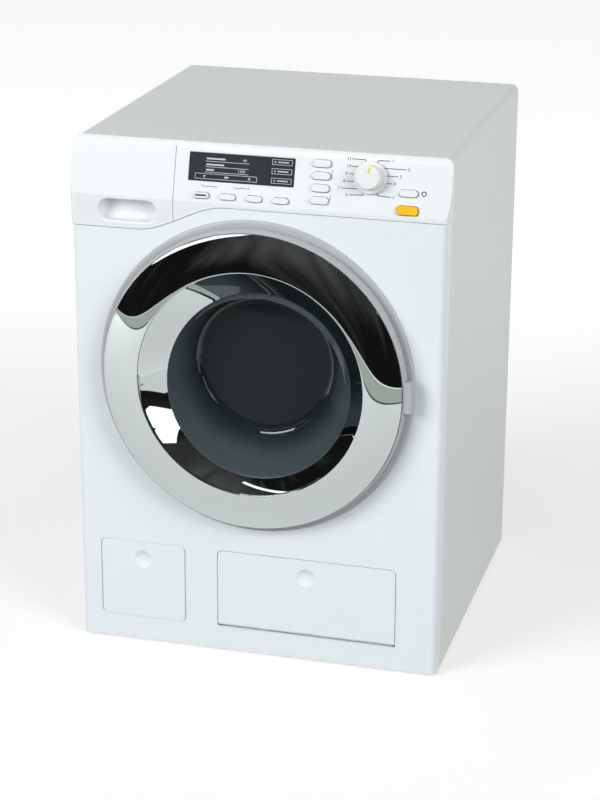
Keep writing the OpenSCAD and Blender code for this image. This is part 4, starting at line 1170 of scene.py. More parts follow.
@dataclass(frozen=True)
class Button:
    """One push button: its name, its place on the fascia and its size."""

    name: str
    x: float
    up: float
    width: float
    height: float
    corner: float = 0.0

    def outline(self, grow: float = 0.0) -> list[Point]:
        """Returns the cap's outline, grown by a margin."""
        width, height = self.width + 2 * grow, self.height + 2 * grow
        if self.corner:
            return rounded((-width / 2, -height / 2), (width / 2, height / 2), self.corner + grow, 6)
        return pill(width, height, steps=12)


@dataclass
class Controls:
    """The control fascia with its display, print, buttons and dial."""

    display_low: Point = (-33.8, 10.2)
    display_high: Point = (17.9, 23.6)
    display_depth: float = 1.2
    knob: Point = (54.6, 17.2)
    spindle: float = 2.5
    gap: float = 0.25
    cap: float = 1.3
    flange: float = 1.1
    flange_out: float = 0.8
    rod_length: float = 16.0
    line: float = 0.36
    ink_height: float = 0.04
    ink_depth: float = 0.05
    row_start: float = -26.7
    row_pitch: float = 12.97
    row_up: float = 3.4
    column_x: float = 30.9
    column_start: float = 22.19
    column_pitch: float = 5.73
    single_x: float = 73.0

    def buttons(self) -> list[Button]:
        """Returns every push button."""
        row = [Button(f"row_button_{i + 1}", self.row_start + i * self.row_pitch, self.row_up, 7.8, 2.9)
               for i in range(4)]
        column = [Button(f"column_button_{i + 1}", self.column_x, self.column_start - i * self.column_pitch,
                         8.8, 3.55) for i in range(4)]
        single = Button("single_button", self.single_x, 11.2, 8.7, 3.4)
        door = Button("door_button", self.single_x, 3.3, 10.1, 4.3, 1.5)
        return [*row, *column, single, door]

    def side(self) -> Solid:
        """Returns the fascia's full section along its whole width, with soft edges."""
        depth, top = CASE.slope_top
        low = CASE.drawer_low - 20
        rear = CASE.seam_depth - 0.1
        section = [(0, low), (0, CASE.bend), (depth, top), (CASE.chamfer_depth, CASE.height),
                   (rear, CASE.height), (rear, low)]
        body = BENCH.prism(section, -CASE.fascia_half - 1, CASE.fascia_half + 1, Axis.X)
        for height, width in ((CASE.bend, 0.6), (top, 1.3), (CASE.height, 0.9)):
            at_height = lambda a, b: (abs(a.z - height) < 0.01 and abs(b.z - height) < 0.01
                                      and a.y < CASE.chamfer_depth + 0.1 and abs(a.y - b.y) < 0.01)
            BENCH.round_edges(body, at_height, width, 6)
        return body

    def corners(self) -> Solid:
        """Returns the upright block that rounds the fascia's two front corners."""
        outline = plan(CASE.fascia_half - CASE.hair, -CASE.hair, CASE.seam_depth + 5, CASE.corner, 0)
        return BENCH.prism(outline, 150, CASE.height + 1, Axis.Z)

    def hollow(self, left: float, right: float) -> Solid:
        """Returns the space behind the skin, between two places along the width.

        Args:
            left: Where it starts.
            right: Where it ends.
        """
        lean = math.tan(CASE.slant)
        back = CASE.wall / math.cos(CASE.slant)
        roof = CASE.height - CASE.wall
        low = CASE.drawer_low - 21
        section = [(CASE.wall, low), (CASE.wall, CASE.bend + (CASE.wall - back) / lean),
                   (back + (roof - CASE.bend) * lean, roof), (CASE.seam_depth + 20, roof),
                   (CASE.seam_depth + 20, low)]
        return BENCH.prism(section, left, right, Axis.X)

    def on_slope(self, outline: list[Point], x: float, up: float, start: float, end: float) -> Solid:
        """Returns a prism that stands on the slanted face."""
        return BENCH.put(BENCH.prism(outline, start, end, Axis.Z), CASE.on_fascia(x, up))

    def skin(self) -> Solid:
        """Returns the fascia's shell with its openings."""
        half, top_radius = CASE.fascia_half, CASE.top_corner
        crest = CASE.height - top_radius + CASE.hair
        edge = CASE.drawer_gap + CASE.seam / 2
        top = CASE.slope_top[1]
        front = [(half, CASE.panel_top + CASE.seam),
                 *arc((half - top_radius, crest), top_radius, 0, 90),
                 *arc((top_radius - half, crest), top_radius, 90, 150, 5),
                 (-half, top), (edge, top), *CASE.sweep_points(edge, CASE.sweep[1], CASE.seam)]
        skin = self.side()
        BENCH.change(skin, BENCH.prism(front, -1, CASE.seam_depth + 5), Cut.KEEP)
        BENCH.change(skin, self.corners(), Cut.KEEP)
        BENCH.change(skin, self.hollow(edge + CASE.wall, half - CASE.wall))
        (x0, s0), (x1, s1) = self.display_low, self.display_high
        pocket = rounded((x0 - 0.15, s0 - 0.15), (x1 + 0.15, s1 + 0.15), 0.5, 4)
        BENCH.change(skin, self.on_slope(pocket, 0, 0, -self.display_depth - 0.1, 4))
        BENCH.change(skin, BENCH.put(BENCH.rod(self.spindle + 0.05, -9, 3), CASE.on_fascia(*self.knob)))
        for button in self.buttons():
            BENCH.change(skin, self.on_slope(button.outline(self.gap), button.x, button.up, -5, 4))
        BENCH.soften(skin, 0.16)
        return BENCH.finish(skin, "fascia_skin", smooth=30)

    def stroke(self, points: Sequence[Point], width: float | None = None) -> Solid:
        """Returns a thin printed line through some points.

        Args:
            points: The line's ends and bends.
            width: Its width, or nothing for the usual one.
        """
        wide = (width or self.line) / 2
        pieces = []
        for (x0, y0), (x1, y1) in zip(points, points[1:]):
            length = math.hypot(x1 - x0, y1 - y0) + wide
            bar = BENCH.block((-wide / 2, -wide, -self.ink_depth), (length, wide, self.ink_height))
            turn = Matrix.Translation((x0, y0, 0)) @ Matrix.Rotation(math.atan2(y1 - y0, x1 - x0), 4, "Z")
            pieces.append(BENCH.put(bar, turn))
        return BENCH.merge(pieces)

    def frame_line(self, low: Point, high: Point) -> Solid:
        """Returns a printed rectangle between its lower left and upper right corners."""
        (x0, y0), (x1, y1) = low, high
        return self.stroke([(x0, y0), (x1, y0), (x1, y1), (x0, y1), (x0, y0)], 0.22)

    def mark(self, points: list[Point]) -> Solid:
        """Returns a small printed shape."""
        return BENCH.prism(points, -self.ink_depth, self.ink_height, Axis.Z)

    def arrow(self, x: float, up: float, size: float, turn: float) -> Solid:
        """Returns a printed triangle that points a number of degrees from the right."""
        corners = [math.radians(turn + step) for step in (0, 120, 240)]
        return self.mark([(x + size * math.cos(a), up + size * math.sin(a)) for a in corners])

    def number(self, value: int, x: float, up: float, size: float) -> Solid:
        """Returns a printed number.

        Args:
            value: The number.
            x: Its middle across.
            up: Its middle up the slope.
            size: Its size.
        """
        BENCH.clear()
        bpy.ops.object.text_add(location=(0, 0, 0))
        words = bpy.context.object
        words.data.body = str(value)
        words.data.size = size
        words.data.align_x = "CENTER"
        words.data.align_y = "CENTER"
        words.data.extrude = (self.ink_height + self.ink_depth) / 2
        words.data.resolution_u = 3
        bpy.ops.object.convert(target="MESH")
        level = (self.ink_height - self.ink_depth) / 2
        return BENCH.put(bpy.context.object, Matrix.Translation((x, up, level)))

    def display(self) -> None:
        """Builds the dark window and the generic marks behind its surface."""
        (x0, s0), (x1, s1) = self.display_low, self.display_high
        window = BENCH.prism(rounded((x0, s0), (x1, s1), 0.4, 4), -self.display_depth - 0.1, -0.1, Axis.Z)
        BENCH.soften(window, 0.1)
        window = BENCH.finish(window, "dark_window", CASE.on_fascia(0, 0))
        dress(window, Slot.DISPLAY_DARK, "casing", "display_window")
        marks = [self.stroke([(-25.8, up), (-4.6, up)], 0.24) for up in (19.6, 17.0, 14.5)]
        marks += [self.stroke([(-25.2, up), (end, up)], 0.75)
                  for end, up in ((-16.5, 20.9), (-17.0, 18.1), (-21.8, 15.6))]
        marks += [self.number(40, -6.6, 20.9, 1.9), self.number(1200, -8.0, 15.7, 1.9),
                  self.frame_line((-30.5, 11.3), (-0.2, 13.7)), self.arrow(-26.0, 12.5, 0.75, -90),
                  self.mark(pill(2.2, 0.8, (-15.1, 12.5))), self.arrow(-3.9, 12.5, 0.75, 90)]
        for low in (20.2, 15.9, 11.5):
            marks += [self.frame_line((6.9, low), (16.5, low + 2.4)), self.arrow(8.3, low + 1.2, 0.6, 0),
                      self.stroke([(9.8, low + 1.2), (14.6, low + 1.2)], 0.55)]
        behind = Matrix.Translation((0, 0, -0.1))
        lit = BENCH.finish(BENCH.merge(marks), "display_marks", CASE.on_fascia(0, 0) @ behind)
        dress(lit, Slot.DISPLAY_DARK, "casing", ink=Ink.DISPLAY)

    def leaders(self) -> list[list[Point]]:
        """Returns the lines from the dial to its numbers, clockwise from the upper left one's neighbour."""
        return [
            [(57.4, 24.3), (57.5, 25.4), (63.0, 25.5)], [(60.3, 22.0), (70.8, 22.0)],
            [(62.0, 18.6), (67.2, 18.6)], [(62.3, 15.1), (64.6, 15.1)],
            [(58.3, 10.1), (58.4, 9.2), (64.6, 8.9)], [(51.4, 10.0), (51.2, 9.0), (45.0, 8.7)],
            [(48.3, 11.8), (40.9, 11.6)], [(46.6, 15.1), (43.4, 14.9)], [(46.7, 18.4), (44.2, 18.5)],
            [(48.5, 22.0), (45.0, 22.0)], [(51.6, 24.3), (51.3, 25.4), (45.0, 25.4)],
        ]

    def print_marks(self) -> None:
        """Prints the lines, numbers and small signs on the fascia."""
        marks = []
        for value, line in enumerate(self.leaders(), 1):
            marks.append(self.stroke(line))
            end = line[-1]
            side = 1.4 if end[0] > self.knob[0] else -1.4
            marks.append(self.number(value, end[0] + side, end[1], 2.1))
        signs = ([(-26.5, 8.4), (-26.5, 7.8), (-19.3, 7.8)], [(-11.0, 7.9), (-3.6, 7.9), (-3.6, 8.5)],
                 [(35.9, 19.6), (35.9, 15.0)], [(35.9, 8.0), (35.9, 5.9)])
        marks += [self.stroke(sign, width=0.25) for sign in signs]
        inside, outside, low, high = 0.75, 1.25, -self.ink_depth, self.ink_height
        ring = BENCH.lathe([(inside, low), (outside, low), (outside, high), (inside, high)], 32)
        marks.append(BENCH.put(ring, Matrix.Translation((80.2, 11.5, 0))))
        printed = BENCH.finish(BENCH.merge(marks), "fascia_print", CASE.on_fascia(0, 0))
        dress(printed, Slot.WHITE_FASCIA, "casing", ink=Ink.FASCIA)

    def button(self, plan_of: Button) -> None:
        """Builds one push button.

        Args:
            plan_of: Its place and size.
        """
        cap = BENCH.prism(plan_of.outline(), -CASE.wall - 0.1, self.cap, Axis.Z)
        top = self.cap - 0.01
        BENCH.round_edges(cap, both(lambda end: end.z > top), 0.45, 5)
        flange = BENCH.prism(plan_of.outline(self.flange_out), -CASE.wall - 0.1 - self.flange,
                             -CASE.wall - 0.1, Axis.Z)
        BENCH.change(cap, flange, Cut.JOIN)
        yellow = plan_of.corner > 0
        if yellow:
            cap = BENCH.merge([cap, BENCH.rod(1.9, -self.rod_length, -CASE.wall - 0.5)])
        solid = BENCH.finish(cap, f"{plan_of.name}_cap", CASE.on_fascia(plan_of.x, plan_of.up))
        slot = Slot.BUTTON_YELLOW if yellow else Slot.BUTTON_WHITE
        dress(solid, slot, plan_of.name, plan_of.name)

    def start_bar(self) -> None:
        """Prints the dark bar on the first button."""
        bar = BENCH.prism(pill(5.6, 0.85, steps=8), self.cap - 0.05, self.cap + 0.03, Axis.Z)
        solid = BENCH.finish(bar, "start_bar", CASE.on_fascia(self.row_start, self.row_up))
        dress(solid, Slot.BUTTON_WHITE, "row_button_1", ink=Ink.FASCIA)

    def dial(self) -> None:
        """Builds the dial with its pointer."""
        profile = [(2.55, 0.3), (7.5, 0.3), *arc((7.3, 0.8), 0.5, -90, 0, 5), *arc((7.0, 1.4), 0.8, 0, 80, 6),
                   (6.3, 2.2), *arc((6.25, 2.6), 0.4, -90, -175, 5), (5.6, 5.7),
                   *arc((5.0, 6.0), 0.6, 0, 90, 6), (0, 6.6), (0, 4.6), (2.55, 4.6)]
        cap = BENCH.lathe(profile, 96)
        solid = BENCH.finish(cap, "dial_cap", CASE.on_fascia(*self.knob), smooth=50)
        dress(solid, Slot.BUTTON_WHITE, "dial", "knob")
        pointer = BENCH.prism(rounded((-0.5, 1.6), (0.5, 4.8), 0.4, 4), 6.55, 6.64, Axis.Z)
        lean = Matrix.Rotation(math.radians(-6), 4, "Z")
        solid = BENCH.finish(pointer, "dial_pointer", CASE.on_fascia(*self.knob) @ lean)
        dress(solid, Slot.BUTTON_WHITE, "dial", ink=Ink.POINTER)

    def build(self) -> None:
        """Builds and dresses the controls."""
        dress(self.skin(), Slot.WHITE_FASCIA, "casing", "control_fascia")
        self.display()
        self.print_marks()
        for plan_of in self.buttons():
            self.button(plan_of)
        self.start_bar()
        self.dial()


# ---------------------------------------------------------------- door


@dataclass
class Door:
    """The porthole door: frame, bright ring and funnel, and smoked bowl."""

    height: float = 147.3
    rim_drop: float = 4.3
    outer: float = 75.8
    ring: float = 74.3
    lip: float = 56.5
    rim: float = 46.0
    rim_depth: float = 4.0
    collar: float = 3.2
    collar_at: Point = (2.0, -2.7)
    collar_lean: float = math.radians(5)
    egg: float = 0.15
    bowl: float = 33.0
    bowl_depth: float = 18.0
    bowl_rise: float = 1.7
    skin: float = 1.6
    ring_edge: float = 8.5
    ring_rise: float = 3.8
    bulge: float = 0.9
    grip_height: float = 15.5
    grip_radius: float = 72.3
    grip_reach: float = 79.0
    tube: float = 55.2
    tube_wall: float = 1.4
    funnel_top: float = 11.2
    funnel_wall: float = 0.8
    flange: Point = (43.5, 49.2)
    flange_back: float = -5.8
    flange_front: float = -4.1

    def at_door(self) -> Matrix:
        """Returns the door's own frame, whose z points out of the front."""
        return CASE.out_at(0, self.height)

    def frame_ring(self) -> Solid:
        """Returns the white frame with its finger grip."""
        tube, wall = self.tube, self.tube_wall
        back = -self.rim_depth - self.skin - 0.2
        side = [(self.outer - 0.3, 1.8), (self.outer, 2.1),
                *curve((self.outer, 3.6), (self.outer - 0.1, 6.4), (74.6, 7.9), 8)]
        profile = [(tube - wall, back), (tube, back), (tube, 1.8), *side, (74.4, 7.5), (71.7, 7.5),
                   (71.7, 3.8), (54.9, 3.8), (tube - wall, 1.0)]
        frame_part = BENCH.lathe(profile, 256)
        low, high = 2.2, self.ring_edge - 1.0
        near, far = self.grip_radius, self.grip_reach
        grip = BENCH.lathe([(near, low), (far, low), (far, high), (near, high)], 256)
        half = self.grip_height / 2
        block = rounded((near - 2.5, -half), (far + 2.8, half), 2)
        BENCH.change(grip, BENCH.prism(block, 0, 14, Axis.Z), Cut.KEEP)
        top = high - 0.01
        BENCH.round_edges(grip, both(lambda end: end.z > top and end.xy.length > near + 0.7), 0.9, 5)
        BENCH.change(frame_part, grip, Cut.JOIN)
        return BENCH.finish(frame_part, "door_ring_frame", self.at_door(), smooth=32)

    def bright_ring(self) -> Solid:
        """Returns the plated front ring with its rolled inner lip."""
        steps = 24
        shares = [i / steps for i in range(steps + 1)]
        run = self.ring - self.lip
        crest = self.ring_edge + self.ring_rise
        face = [(self.ring - run * t, self.ring_edge + self.ring_rise * t + 4 * self.bulge * t * (1 - t))
                for t in shares]
        roll = curve(face[-1], (self.lip - 0.55, crest), (self.lip - 0.5, crest - 0.9), 6)[1:]
        back = [(radius, height - 1.0) for radius, height in reversed(face)]
        ring = BENCH.lathe([*face, *roll, (self.lip, crest - 1.2), *back[1:]], 256)
        return BENCH.finish(ring, "bright_front_ring", self.at_door(), smooth=40)

    def funnel(self) -> Solid:
        """Returns the plated funnel that narrows towards the window's collar, low and to the right."""
        top, low = self.funnel_top, self.collar
        inner = curve((self.lip - 0.45, top), (self.lip - 4.6, 7.8), (self.rim, low), 14)
        outer = [(radius + self.funnel_wall, height) for radius, height in reversed(inner)]
        funnel = BENCH.lathe([*inner, *outer], 256)
        BENCH.seat_rings(funnel, [height for _, height in inner],
                         lambda height: self.seat((top - height) / (top - low)))
        return BENCH.finish(funnel, "bright_funnel", self.at_door(), smooth=40)

    def seat(self, share: float, rise: float = 0.0) -> tuple[float, float, float]:
        """Returns the shift and lean of a ring between the door's middle and the window's collar."""
        x, y = self.collar_at
        return x * share, rise * (1 - share) + y * share, self.collar_lean * share

    def window(self) -> Solid:
        """Returns the smoked bowl with its collar and flange."""
        rim, floor, low = self.rim - 0.2, -self.bowl_depth, self.collar
        inner = curve((self.bowl - 2.2, floor), (self.bowl + 2.0, floor), (self.bowl + 3.8, floor + 3.8), 12)
        edge = curve((rim, low - 0.3), (rim, low), (rim + 0.3, low), 3)
        inner = [(0, floor), *inner, (rim - 0.5, low - 0.7), *edge]
        outer = curve((self.bowl + 5.4, floor + 3.8), (self.bowl + 3.6, floor - self.skin),
                      (self.bowl - 2, floor - self.skin), 12)
        outer = [(rim + self.skin, low), *outer, (0, floor - self.skin)]
        bowl = BENCH.lathe([*inner, *outer], 256)
        deep = low + self.bowl_depth
        BENCH.seat_rings(bowl, [height for _, height in inner + outer],
                         lambda height: self.seat(max(0.0, 1 - (low - height) / deep), self.bowl_rise))
        self.taper(bowl, deep)
        corners = [(self.flange[0], self.flange_back), (self.flange[1], self.flange_back),
                   (self.flange[1], self.flange_front), (self.flange[0], self.flange_front)]
        flange = BENCH.lathe(corners)
        BENCH.put(flange, Matrix.Translation((0, -self.rim_drop, 0)))
        return BENCH.finish(BENCH.merge([bowl, flange]), "smoked_bowl", self.at_door(), smooth=60)

    def taper(self, bowl: Solid, deep: float) -> None:
        """Narrows the lower half of the bowl, more so towards its floor.

        Args:
            bowl: The bowl.
            deep: The distance from its collar to its floor.
        """
        group = bowl.vertex_groups.new(name="depth")
        for corner in bowl.data.vertices:
            share = min(1.0, max(0.0, (self.collar - corner.co.z) / deep))
            group.add([corner.index], share * share, "REPLACE")
        BENCH.take(bowl)
        step = bowl.modifiers.new("taper", "SIMPLE_DEFORM")
        step.deform_method = "TAPER"
        step.deform_axis = "Y"
        step.lock_z = True
        step.factor = self.egg
        step.vertex_group = group.name
        bpy.ops.object.modifier_apply(modifier=step.name)
        bowl.vertex_groups.clear()

    def build(self) -> None:
        """Builds and dresses the door."""
        dress(self.frame_ring(), Slot.SILVER_GREY, "door", "door_frame")
        dress(self.bright_ring(), Slot.BRIGHT_PLATING, "door", "chrome_ring")
        dress(self.funnel(), Slot.BRIGHT_PLATING, "door", "chrome_funnel")
        dress(self.window(), Slot.SMOKED, "door", "door_bowl")


# ---------------------------------------------------------------- drawer and flap


@dataclass
class Drawer:
    """The detergent drawer: its front with the finger scoop, and the tray behind it."""

    scoop: Point = (-63.7, 226.1)
    scoop_size: Point = (29.3, 10.3)
    scoop_depth: float = 7.0
    skin: float = 1.6
    tray_x: Point = (-84.0, -47.0)
    tray_z: Point = (222.0, 245.0)
    tray_depth: float = 62.0
    split: float = -61.8

    def front(self) -> Solid:
        """Returns the drawer's front."""
        right = CASE.drawer_gap - CASE.seam / 2
        top = CASE.slope_top[1] - CASE.seam * 0.4
        outline = [(right, top), (-CASE.fascia_half, top),
                   *CASE.sweep_points(-CASE.fascia_half, right, CASE.seam, 40)]
        front = CONTROLS.side()
        BENCH.change(front, BENCH.prism(outline, -1, CASE.seam_depth + 5), Cut.KEEP)
        BENCH.change(front, CONTROLS.corners(), Cut.KEEP)
        BENCH.change(front, CONTROLS.hollow(-CASE.fascia_half + CASE.wall, right - CASE.wall))
        width, height = self.scoop_size
        grow = 2 * self.skin - 0.4
        cup = pill(width + grow, height + grow, self.scoop, 20)
        BENCH.change(front, BENCH.prism(cup, 0.5, self.scoop_depth + self.skin), Cut.JOIN)
        hollow = BENCH.prism(pill(width, height, self.scoop, 20), -1, self.scoop_depth)
        deep = self.scoop_depth - 0.01
        BENCH.round_edges(hollow, both(lambda end: end.y > deep), 3.2, 8)
        BENCH.change(front, hollow)
        near = width / 2 + 0.5
        rim = lambda a, b: (abs(a.y) < 0.01 and abs(b.y) < 0.01 and abs(a.x - self.scoop[0]) < near
                            and abs(a.z - self.scoop[1]) < height / 2 + 0.1
                            and abs(b.z - self.scoop[1]) < height / 2 + 0.1)
        BENCH.round_edges(front, rim, 0.95, 6)
        BENCH.soften(front, 0.16)
        return BENCH.finish(front, "drawer_face", smooth=34)

    def tray(self) -> Solid:
        """Returns the tray with its two compartments."""
        near = self.scoop_depth + self.skin
        far = near + self.tray_depth
        (x0, x1), (z0, z1) = self.tray_x, self.tray_z
        tray = BENCH.block((x0, near, z0), (x1, far, z1))
        BENCH.round_edges(tray, lambda a, b: abs(a.z - b.z) > 10, 2.0, 5)
        half = self.skin / 2
        for left, right in ((x0 + self.skin, self.split - half), (self.split + half, x1 - self.skin)):
            room = BENCH.block((left, near + self.skin, z0 + self.skin), (right, far - self.skin, z1 + 1))
            BENCH.round_edges(room, lambda a, b: min(a.z, b.z) < z0 + self.skin + 0.1, 1.6, 4)
            BENCH.change(tray, room)
        BENCH.soften(tray, 0.25)
        return BENCH.finish(tray, "soap_tray")

    def build(self) -> None:
        """Builds and dresses the drawer."""
        dress(self.front(), Slot.WHITE_FASCIA, "drawer", "drawer_front")
        dress(self.tray(), Slot.WHITE_INNER, "drawer", "drawer_tray")


@dataclass
class Flap:
    """The drop-down service flap."""

    low: Point = (-20.05, 15.2)
    high: Point = (71.05, 54.65)
    thick: float = 2.0
    corner: float = 2.65
    axis: Point = (1.8, 15.2)
    barrel: float = 1.6
    pin: float = 0.9
    pin_reach: float = 2.75
    dimple_place: Point = (25.5, 45.2)
    dimple_out: float = 8.8
    dimple_ball: float = 10.0

    def panel(self) -> Solid:
        """Returns the flap with its barrel, pins and finger dimple."""
        (x0, z0), (x1, z1) = self.low, self.high
        outline = [(x1, z0), *arc((x1 - self.corner, z1 - self.corner), self.corner, 0, 90),
                   *arc((x0 + self.corner, z1 - self.corner), self.corner, 90, 180), (x0, z0)]
        flap = BENCH.prism(outline, 0, self.thick)
        barrel = BENCH.rod(self.barrel, x0 + 0.2, x1 - 0.2, self.axis, Axis.X, 48)
        BENCH.change(flap, barrel, Cut.JOIN)
        pin = BENCH.rod(self.pin, x0 - self.pin_reach, x1 + self.pin_reach, self.axis, Axis.X, 32)
        BENCH.change(flap, pin, Cut.JOIN)
        x, z = self.dimple_place
        BENCH.change(flap, BENCH.ball(self.dimple_ball, (x, -self.dimple_out, z)))
        BENCH.soften(flap, 0.18)
        return BENCH.finish(flap, "service_flap", smooth=30)

    def build(self) -> None:
        """Builds and dresses the flap."""
        dress(self.panel(), Slot.WHITE_SHELL, "flap", "access_flap")


# ---------------------------------------------------------------- pieces that keep their own shapes


@dataclass
class Works:
    """The pieces that keep the shapes of the part's own nodes, by their finish."""

    nodes: dict[Slot, tuple[str, ...]] = field(default_factory=lambda: {
        Slot.DRUM_METAL: ("drum",),
        Slot.GREY_INNER: ("tub", "drum_lifters", "gear_plate", "hinge_bracket", "hook_keeper",
                          "knob_spindle", "release_bar"),
        Slot.STEEL: ("drum_shaft", "counter_shaft", "motor_shaft", "motor", "battery_contacts",
                     "hinge_pin", "clamp_screws"),
        Slot.BRASS_BUSH: ("shaft_bush", "motor_pinion"),
        Slot.GEAR_PLASTIC: ("drum_pulley", "drive_gear", "counter_pulley"),
        Slot.BLACK_RUBBER: ("drive_belt",),
        Slot.WHITE_INNER: ("battery_box", "base_plate", "bowl_clamp", "hinge_arm", "door_hook",
                           "drawer_guide", "flap_recess"),
        Slot.GREY_RUBBER: ("foot_pads", "keypad_mat"),
        Slot.BOARD_GREEN: ("circuit_board",),
        Slot.CELL_WRAP: ("battery_cells",),
        Slot.BLACK_PART: ("speaker", "program_switch"),
    })

    def build(self) -> None:
        """Dresses these pieces."""
        for slot, nodes in self.nodes.items():
            for node in nodes:
                dress_node(node, slot)


# ---------------------------------------------------------------- studio


@dataclass
class Studio:
    """The plain pale floor, the soft lights and the camera."""

    camera_place: tuple[float, float, float] = (0.29180, -1.06639, 0.50771)
    azimuth: float = math.radians(15.34)
    elevation: float = math.radians(19.91)
    roll: float = math.radians(0.231)
    lens: float = 101.38
    floor_tone: float = 0.5
    floor_glow: float = 0.7
    sky: float = 0.22
    floor_size: Point = (6.0, 3.3)
    # Painted shadow on the floor: its glow is dimmer round this middle.
    glow_middle: tuple[float, float, float] = (0, -0.05, 0)
    glow_near: Colour = (0.75, 0.75, 0.74)
    lamps: tuple[Point, Point] = ((-40, 44), (55, 35))
    lamp_aim: tuple[float, float, float] = (0, 0, 0.13)
    lamp_height: float = math.radians(24)
    lamp_distance: float = 2.4
    lamp_size: float = 1.2
    edge_y: float = -0.525
    edge_turn: float = math.atan(0.42)
    corner_x: float = 0.302
    room: float = 2.5
    # Strengths of the painted highlight cards.
    window_light: float = 2.0
    top_light: float = 9.0

    def camera(self) -> None:
        """Puts the camera in front of the toy, a little above it and to its right."""
        bpy.ops.object.camera_add(location=self.camera_place)
        camera = bpy.context.object
        turn = (Matrix.Rotation(self.azimuth, 4, "Z") @ Matrix.Rotation(math.pi / 2 - self.elevation, 4, "X")
                @ Matrix.Rotation(self.roll, 4, "Z"))
        camera.rotation_euler = turn.to_euler()
        camera.data.lens = self.lens
        camera.data.sensor_width = 36
        bpy.context.scene.camera = camera

    def at_edge(self) -> Matrix:
        """Returns the frame of the table's front edge: x along it, y over the table."""
        return Matrix.Translation((0, self.edge_y, 0)) @ Matrix.Rotation(self.edge_turn, 4, "Z")

    def floor(self) -> None:
        """Lays the pale floor, which ends at the table's front edge, with a painted shadow in its glow round
        the toy.
        """
        width, depth = self.floor_size
        bpy.ops.mesh.primitive_plane_add(size=1, location=(0, depth / 2, 0))
        floor = bpy.context.object
        floor.scale = (width, depth, 1)
        BENCH.settle(floor)
        BENCH.put(floor, self.at_edge())
        floor.name = "floor"
        shader = Shader("pale_floor")
        tone = (self.floor_tone,) * 3
        shader.feed("Base Color", shader.blend(shader.noise(3.0), tone, shade(tone, 0.99)))
        shader.feed("Roughness", 0.7)
        # Painted shadow: the glow is dimmer within 0.2 m of the middle and turns white by 0.7 m away.
        apart = shader.node("ShaderNodeVectorMath", {"operation": "DISTANCE"},
                            {0: shader.place(), 1: self.glow_middle}, "Value")
        far = ((apart - 0.2) * 2.0).clamped()
        shader.feed("Emission Color", shader.blend(far, self.glow_near, WHITE))
        shader.feed("Emission Strength", self.floor_glow)
        floor.data.materials.append(shader.material)
        floor.visible_diffuse = False
        floor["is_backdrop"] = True

    def world(self) -> None:
        """Makes the white surroundings, dimmer where they only light the scene."""
        world = bpy.data.worlds.new("white_room")
        bpy.context.scene.world = world
        world.use_nodes = True
        tree = world.node_tree
        tree.nodes.clear()
        path = tree.nodes.new("ShaderNodeLightPath")
        seen = path.outputs["Is Camera Ray"]
        for ray in ("Is Glossy Ray", "Is Transmission Ray"):
            either = tree.nodes.new("ShaderNodeMath")
            either.operation = "ADD"
            either.use_clamp = True
            tree.links.new(seen, either.inputs[0])
            tree.links.new(path.outputs[ray], either.inputs[1])
            seen = either.outputs[0]
        strength = tree.nodes.new("ShaderNodeMath")
        strength.operation = "MULTIPLY_ADD"
        strength.inputs[1].default_value = 1.0 - self.sky
        strength.inputs[2].default_value = self.sky
        tree.links.new(seen, strength.inputs[0])
        light = tree.nodes.new("ShaderNodeBackground")
        light.inputs["Color"].default_value = (1, 1, 1, 1)
        tree.links.new(strength.outputs[0], light.inputs["Strength"])
        output = tree.nodes.new("ShaderNodeOutputWorld")
        tree.links.new(light.outputs[0], output.inputs["Surface"])

    def lamp(self, turn: float, power: float) -> None:
        """Hangs a soft square light that faces the object.

        Args:
            turn: How far to the right of the front it hangs, in degrees.
            power: Its power.
        """
        level, side = math.cos(self.lamp_height), math.radians(turn)
        way = Vector((math.sin(side) * level, -math.cos(side) * level, math.sin(self.lamp_height)))
        bpy.ops.object.light_add(type="AREA", location=Vector(self.lamp_aim) + way * self.lamp_distance)
        lamp = bpy.context.object
        lamp.data.size = self.lamp_size
        lamp.data.energy = power
        lamp.rotation_euler = (-way).to_track_quat("-Z", "Y").to_euler()
        lamp.visible_camera = False
        lamp.visible_glossy = False

    def turned(self, about_z: float, about_y: float, about_x: float) -> Matrix:
        """Returns a turn about x, then y, then z, in degrees."""
        turn = Matrix.Identity(4)
        for angle, axis in ((about_z, "Z"), (about_y, "Y"), (about_x, "X")):
            turn = turn @ Matrix.Rotation(math.radians(angle), 4, axis)
        return turn

    def card(self, name: str, place: Matrix, low: Point, high: Point, shader: Shader) -> None:
        """Stands up a glowing card that only glossy rays see, to paint a reflection or highlight.

        Args:
            name: Its name.
            place: The frame that it stands in, at y = 0.
            low: Its lower left corner there, across and up.
            high: Its upper right corner.
            shader: Its finish, already fed.
        """
        bpy.ops.mesh.primitive_plane_add(size=1, location=((low[0] + high[0]) / 2, 0, (low[1] + high[1]) / 2))
        card = bpy.context.object
        card.scale = (high[0] - low[0], high[1] - low[1], 1)
        card.rotation_euler = (math.pi / 2, 0, 0)
        BENCH.settle(card)
        BENCH.put(card, place)
        card.name = name
        card.visible_camera = False
        card.visible_diffuse = False
        card.visible_shadow = False
        card.visible_transmission = False
        card.data.materials.append(shader.material)
        card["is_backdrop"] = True

    def glowing(self, name: str, colour: "Socket | Sequence[float]", strength: float = 1.0) -> Shader:
        """Returns a black finish that gives off a colour.

        Args:
            name: Its name.
            colour: The colour.
            strength: How bright it is.
        """
        shader = Shader(name) if not isinstance(colour, Socket) else colour.shader
        shader.feed("Base Color", (0, 0, 0, 1))
        shader.feed("Specular IOR Level", 0.0)
        shader.feed("Emission Color", colour if isinstance(colour, Socket) else (*colour, 1))
        shader.feed("Emission Strength", strength)
        return shader

